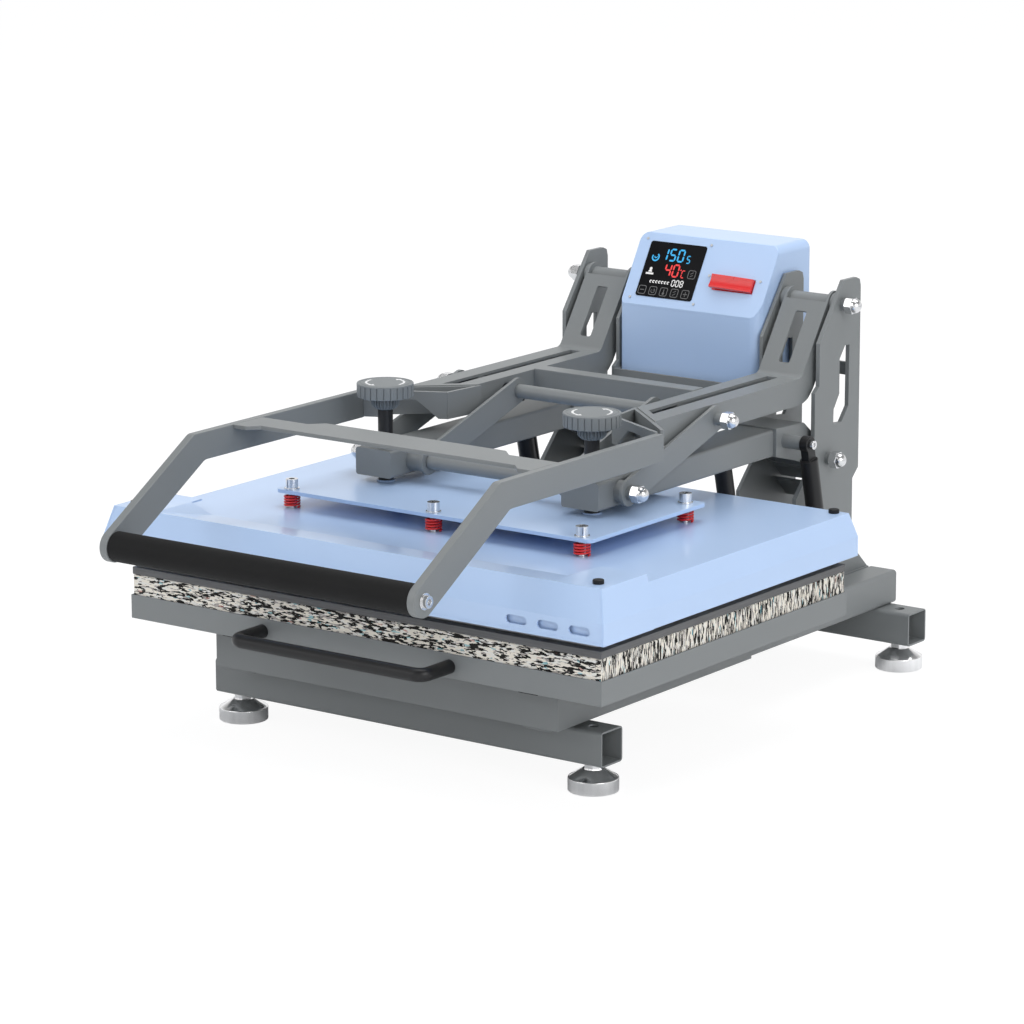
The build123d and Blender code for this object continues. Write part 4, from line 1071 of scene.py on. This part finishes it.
class PRESS_OT_display_marks(PressOperator, bpy.types.Operator):
    """Lights the display's figures and prints its keys"""

    bl_idname = "press.display_marks"
    bl_label = "Display marks"

    BARS = {
        "0": "abcdef",
        "1": "bc",
        "2": "abged",
        "3": "abgcd",
        "4": "fgbc",
        "5": "afgcd",
        "6": "afgedc",
        "7": "abc",
        "8": "abcdefg",
        "9": "abcdfg",
        "C": "afed",
    }
    # In mm over the face: across and up to a row's first figure, the pitch of its
    # figures, and each figure's width, height and bar
    TIME_ROW = (-56.4, 53.3, 10.8, 8.9, 15.4, 2.0)
    SECONDS_ROW = (-22.2, 52.8, 0.0, 5.2, 9.6, 1.3)
    HEAT_ROW = (-46.2, 35.2, 10.3, 8.9, 15.7, 2.0)
    DEGREES_ROW = (-23.4, 35.4, 0.0, 5.0, 9.4, 1.2)
    COUNT_ROW = (-32.4, 24.4, 5.5, 4.7, 8.2, 1.15)
    # Each bar stops short of its corners by this share of its width
    GAP_SHARE = 0.12
    # A straight piece of an arc turns by this many degrees
    ARC_STEP = 15
    LABEL_MARKS = 7
    LABEL_START = (-59.6, 27.9)
    LABEL_PITCH = 3.85
    LABEL_MARK = (1.2, 1.1, 35)
    LABEL_SWEEPS = (260, 270)
    KEY = (10.2, 10.4)
    KEY_CORNER = 2.4
    KEY_LINE = 0.9
    KEY_XS = (-72.6, -58.3, -44.1, -29.8, -15.5)
    KEY_UP = 12.0
    FAR_KEY = (-14.6, 35.6)
    # Arcs have a middle, a radius, a width, and a start and a sweep in degrees
    DIAL_ARCS = (
        ((-62.9, 56.6), 4.2, 1.7, 150, 270),
        ((-62.6, 57.4), 1.7, 1.1, 170, 190),
    )
    DEGREE_RING = ((-25.0, 44.6), 0.5, 0.8, 0, 360)
    PRESS_BED = ((-69.4, 35.8), (-59.4, 35.8), (-59.4, 38.0), (-69.4, 38.0))
    PRESS_HEAD = ((-67.0, 38.7), (-61.8, 38.7), (-62.8, 41.2), (-66.0, 41.2))
    PRESS_TOP = ((-64.3, 42.7), 0.9, 1.8, 0, 360)
    # The keys' signs from left to right and the far key's, in mm from a key's middle:
    # bars with a start, an end and a width, and arcs
    SIGNS = ("minus", "clock", "heat", "waves", "plus", "waves")
    SIGN_BARS = {
        "minus": (((-2.9, 0.0), (2.9, 0.0), 1.1),),
        "clock": (((0.0, 0.0), (1.3, 1.3), 0.8),),
        "heat": (((0.0, -1.0), (0.0, 3.2), 1.1),),
        "waves": (((-2.0, -2.8), (2.0, -0.4), 0.8), ((-2.0, 0.4), (2.0, 2.8), 0.8)),
        "plus": (
            ((-2.9, 0.0), (2.9, 0.0), 1.1),
            ((0.0, 0.8), (0.0, 3.0), 1.1),
            ((0.0, -3.0), (0.0, -0.8), 1.1),
        ),
    }
    SIGN_ARCS = {
        "clock": (((0.0, 0.0), 2.4, 0.8, 150, 280),),
        "heat": (((0.0, -2.0), 0.8, 1.5, 0, 360),),
    }
    BLUE = (0.036, 0.48, 0.92)
    RED = (0.95, 0.045, 0.045)
    WHITE = (0.84, 0.84, 0.84)
    KEY_INK = 0.115

    def execute(self, context):
        self.blue()
        self.red()
        self.white()
        self.keys()
        return {"FINISHED"}

    def done(self, name, shape, finish):
        """Makes the marks of one colour a piece on the glass."""
        new_piece(name, mesh_from(name, shape), BODY_OF["display_glass"], "display", finish)

    def patch(self, shape, points):
        """One flat mark from points across and up the face."""
        shape.faces.new([shape.verts.new(on_face(x, up)) for x, up in points])

    def bar(self, shape, start, end, width):
        """A straight bar with pointed ends."""
        first, last = Vector(start), Vector(end)
        along = (last - first).normalized() * width / 2
        across = Vector((-along.y, along.x))
        self.patch(shape, (
            first,
            first + along - across,
            last - along - across,
            last,
            last - along + across,
            first + along + across,
        ))

    def figures(self, shape, signs, row):
        """A row of figures."""
        x, up, pitch, wide, tall, width = row
        for place, sign in enumerate(signs):
            self.figure(shape, sign, x + pitch * place, up, wide, tall, width)

    def figure(self, shape, sign, x, up, wide, tall, width):
        """The lit bars of one figure, its foot at x and up."""
        left, right = x + width / 2, x + wide - width / 2
        foot, head = up + width / 2, up + tall - width / 2
        waist = up + tall / 2
        gap = width * self.GAP_SHARE
        ends = {
            "a": ((left + gap, head), (right - gap, head)),
            "b": ((right, head - gap), (right, waist + gap)),
            "c": ((right, waist - gap), (right, foot + gap)),
            "d": ((left + gap, foot), (right - gap, foot)),
            "e": ((left, foot + gap), (left, waist - gap)),
            "f": ((left, waist + gap), (left, head - gap)),
            "g": ((left + gap, waist), (right - gap, waist)),
        }
        for name in self.BARS[sign]:
            self.bar(shape, *ends[name], width)

    def arc(self, shape, middle, radius, width, start, turn_by):
        """A curved bar, with its angles in degrees."""
        steps = max(3, int(abs(turn_by) / self.ARC_STEP))
        rims = []
        for step in range(steps + 1):
            turn = radians(start + turn_by * step / steps)
            rims.append([
                (middle[0] + rim * cos(turn), middle[1] + rim * sin(turn))
                for rim in (radius - width / 2, radius + width / 2)
            ])
        for one, two in zip(rims, rims[1:]):
            self.patch(shape, (one[0], one[1], two[1], two[0]))

    def key(self, shape, x, up):
        """The outline of a key, with rounded corners."""
        wide, tall = self.KEY
        corner, width = self.KEY_CORNER, self.KEY_LINE
        for middle_x, middle_up, start in (
            (x + wide - corner, up + tall - corner, 0),
            (x + corner, up + tall - corner, 90),
            (x + corner, up + corner, 180),
            (x + wide - corner, up + corner, 270),
        ):
            middle = (middle_x, middle_up)
            self.arc(shape, middle, corner - width / 2, width, start, 90)
        for low, high in (
            ((x + corner, up), (x + wide - corner, up + width)),
            ((x + corner, up + tall - width), (x + wide - corner, up + tall)),
            ((x, up + corner), (x + width, up + tall - corner)),
            ((x + wide - width, up + corner), (x + wide, up + tall - corner)),
        ):
            self.patch(shape, (low, (high[0], low[1]), high, (low[0], high[1])))

    def blue(self):
        """The time, its unit and a small dial."""
        shape = bmesh.new()
        self.figures(shape, str(sizes().time_shown).rjust(3, "0"), self.TIME_ROW)
        self.figures(shape, "5", self.SECONDS_ROW)
        for arc in self.DIAL_ARCS:
            self.arc(shape, *arc)
        self.done("display_blue", shape, lit_segment("blue", self.BLUE))

    def red(self):
        """The heat and its unit."""
        shape = bmesh.new()
        self.figures(shape, str(sizes().heat_shown).rjust(2, "0"), self.HEAT_ROW)
        self.figures(shape, "C", self.DEGREES_ROW)
        self.arc(shape, *self.DEGREE_RING)
        self.done("display_red", shape, lit_segment("red", self.RED))

    def white(self):
        """The count, a row of plain marks beside it and the sign of a press."""
        shape = bmesh.new()
        self.figures(shape, str(sizes().count_shown).rjust(3, "0"), self.COUNT_ROW)
        x, up = self.LABEL_START
        for place in range(self.LABEL_MARKS):
            middle = (x + self.LABEL_PITCH * place, up)
            self.arc(shape, middle, *self.LABEL_MARK, self.LABEL_SWEEPS[place % 2])
        self.patch(shape, self.PRESS_BED)
        self.patch(shape, self.PRESS_HEAD)
        self.arc(shape, *self.PRESS_TOP)
        self.done("display_white", shape, lit_segment("white", self.WHITE))

    def keys(self):
        """The keys' outlines and the sign in each."""
        shape = bmesh.new()
        half_key = Vector(self.KEY) / 2
        feet = [(x, self.KEY_UP) for x in self.KEY_XS] + [self.FAR_KEY]
        for sign, foot in zip(self.SIGNS, feet):
            self.key(shape, *foot)
            middle = Vector(foot) + half_key
            for first, last, width in self.SIGN_BARS[sign]:
                self.bar(shape, middle + Vector(first), middle + Vector(last), width)
            for at, *rest in self.SIGN_ARCS.get(sign, ()):
                self.arc(shape, middle + Vector(at), *rest)
        self.done("display_keys", shape, printed("grey", self.KEY_INK))


class PRESS_OT_feet(PressOperator, bpy.types.Operator):
    """Finishes the levelling feet"""

    bl_idname = "press.feet"
    bl_label = "Feet"

    EDGE = 0.5 * MM

    def execute(self, context):
        for row in ("front", "rear"):
            for side in ("left", "right"):
                rounded_node("foot_" + row + "_" + side, self.EDGE, turned_steel())
        return {"FINISHED"}


class PRESS_OT_stage(PressOperator, bpy.types.Operator):
    """Sets the floor, the lights and the camera"""

    bl_idname = "press.stage"
    bl_label = "Stage"

    FLOOR_HALF = 30.0
    FLOOR_SHADE = (0.9, 0.9, 0.9)
    # The floor's own white to the camera, and how much it hides of the shadows there
    FLOOR_GLOW = 1.08
    FLOOR_VEIL = 0.86
    WHITE = (1.0, 1.0, 1.0)
    SKY = (0.94, 0.965, 1.0)
    SKY_STRENGTH = 0.55
    # In reflections the sky is white up to one height and dims to a share of it at another
    DIMS_FROM = 0.22
    DIMS_TO = 0.62
    DIMMEST = 0.30
    # Name, place, size in metres and watts
    LAMPS = (
        ("key", (3.4, -1.2, 1.9), 2.4, 46.0),
        ("fill", (-1.5, -3.1, 2.7), 2.6, 39.0),
        ("top", (0.0, 0.9, 3.4), 3.0, 69.0),
    )
    LAMPS_AIM = Vector((0.0, 0.0, 0.22))
    # The camera as it was fitted to the photo
    YAW = radians(36.27986)
    PITCH = radians(12.97471)
    ROLL = radians(-0.14548)
    EYE = Vector((2.6486, -3.614075, 1.2531))
    SENSOR = 36.0
    FAR_END = 100.0

    def execute(self, context):
        self.floor(context)
        self.lamps(context)
        self.world(context)
        self.camera(context)
        return {"FINISHED"}

    def floor(self, context):
        """A pale floor that looks white and keeps the press's shadow."""
        shape = bmesh.new()
        bmesh.ops.create_grid(shape, x_segments=1, y_segments=1, size=self.FLOOR_HALF)
        mesh = mesh_from("floor", shape)
        floor = bpy.data.objects.new("floor", mesh)
        context.scene.collection.objects.link(floor)
        shader = Shader("floor_white")
        camera_ray, transmission_ray = (
            shader.node("ShaderNodeLightPath", output=ray)
            for ray in ("Is Camera Ray", "Is Transmission Ray")
        )
        matte = shader.node("ShaderNodeBsdfDiffuse", {}, {"Color": self.FLOOR_SHADE})
        light = {"Color": self.WHITE, "Strength": self.FLOOR_GLOW}
        glow = shader.node("ShaderNodeEmission", {}, light)
        veil = (camera_ray + transmission_ray) * self.FLOOR_VEIL
        both = shader.node("ShaderNodeMixShader", {}, {0: veil, 1: matte, 2: glow})
        shader.node("ShaderNodeOutputMaterial", {}, {"Surface": both})
        mesh.materials.append(shader.holder)

    def lamps(self, context):
        """A key from the right, a fill from the left front and a soft top."""
        for name, place, size, power in self.LAMPS:
            data = bpy.data.lights.new(name, "AREA")
            data.size = size
            data.energy = power
            lamp = bpy.data.objects.new(name, data)
            lamp.location = place
            toward = self.LAMPS_AIM - Vector(place)
            lamp.rotation_euler = toward.to_track_quat("-Z", "Y").to_euler()
            context.scene.collection.objects.link(lamp)

    def world(self, context):
        """White to the camera, soft on the surfaces, and dimmer overhead in reflections."""
        shader = Shader("studio", "worlds")
        at = shader.node("ShaderNodeTexCoord", output="Generated")
        height = shader.node("ShaderNodeSeparateXYZ", {}, {0: at}, "Z")
        heights = {"Value": height, "From Min": self.DIMS_FROM, "From Max": self.DIMS_TO}
        overhead = shader.node("ShaderNodeMapRange", {}, heights)
        reflected = 1.0 - (1.0 - self.DIMMEST) * overhead
        light = {"Color": self.SKY, "Strength": self.SKY_STRENGTH}
        surface = shader.node("ShaderNodeBackground", {}, light)
        for ray, strength in (("Is Glossy Ray", reflected), ("Is Camera Ray", 1.0)):
            seen = shader.node("ShaderNodeLightPath", output=ray)
            light = {"Color": self.WHITE, "Strength": strength}
            white = shader.node("ShaderNodeBackground", {}, light)
            surface = shader.node("ShaderNodeMixShader", {}, {0: seen, 1: surface, 2: white})
        shader.node("ShaderNodeOutputWorld", {}, {"Surface": surface})
        context.scene.world = shader.holder

    def camera(self, context):
        """The camera, turned by its yaw, then its pitch, then its roll."""
        right = Vector((cos(self.YAW), sin(self.YAW), 0.0))
        back = Vector((
            sin(self.YAW) * cos(self.PITCH),
            -cos(self.YAW) * cos(self.PITCH),
            sin(self.PITCH),
        ))
        up = back.cross(right)
        across = right * cos(self.ROLL) + up * sin(self.ROLL)
        upward = up * cos(self.ROLL) - right * sin(self.ROLL)
        turn = Matrix((across, upward, back)).transposed()
        data = bpy.data.cameras.new("camera")
        data.lens = sizes().camera_lens
        data.sensor_width = self.SENSOR
        data.clip_end = self.FAR_END
        camera = bpy.data.objects.new("camera", data)
        camera.matrix_world = Matrix.Translation(self.EYE) @ turn.to_4x4()
        context.scene.collection.objects.link(camera)
        context.scene.camera = camera
        context.scene.view_settings.view_transform = "Standard"


OPERATORS = (
    PRESS_OT_stage,
    PRESS_OT_hidden_nodes,
    PRESS_OT_frame,
    PRESS_OT_linkage,
    PRESS_OT_fasteners,
    PRESS_OT_platen,
    PRESS_OT_springs,
    PRESS_OT_knobs,
    PRESS_OT_drawer,
    PRESS_OT_grip,
    PRESS_OT_gas_springs,
    PRESS_OT_control_box,
    PRESS_OT_display_marks,
    PRESS_OT_feet,
)


class PRESS_PT_panel(bpy.types.Panel):
    """The press's sizes, colours and pieces in the sidebar"""

    bl_idname = "PRESS_PT_panel"
    bl_label = "Heat press"
    bl_space_type = "VIEW_3D"
    bl_region_type = "UI"
    bl_category = "Heat press"

    def draw(self, context):
        for group in (context.scene.press_sizes, context.scene.press_colours):
            box = self.layout.box()
            for name in group.__annotations__:
                box.prop(group, name)
        for operator in OPERATORS:
            self.layout.operator(operator.bl_idname)


CLASSES = (PressSizes, PressColours) + OPERATORS + (PRESS_PT_panel,)


def register():
    """Registers the classes and gives the scene its sizes and colours."""
    for item in CLASSES:
        bpy.utils.register_class(item)
    bpy.types.Scene.press_sizes = bpy.props.PointerProperty(type=PressSizes)
    bpy.types.Scene.press_colours = bpy.props.PointerProperty(type=PressColours)


def unregister():
    """Takes away what register gives."""
    del bpy.types.Scene.press_sizes
    del bpy.types.Scene.press_colours
    for item in reversed(CLASSES):
        bpy.utils.unregister_class(item)


def main():
    """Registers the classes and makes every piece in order."""
    register()
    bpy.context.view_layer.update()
    for operator in OPERATORS:
        group, name = operator.bl_idname.split(".")
        getattr(getattr(bpy.ops, group), name)()


if __name__ == "__main__":
    main()
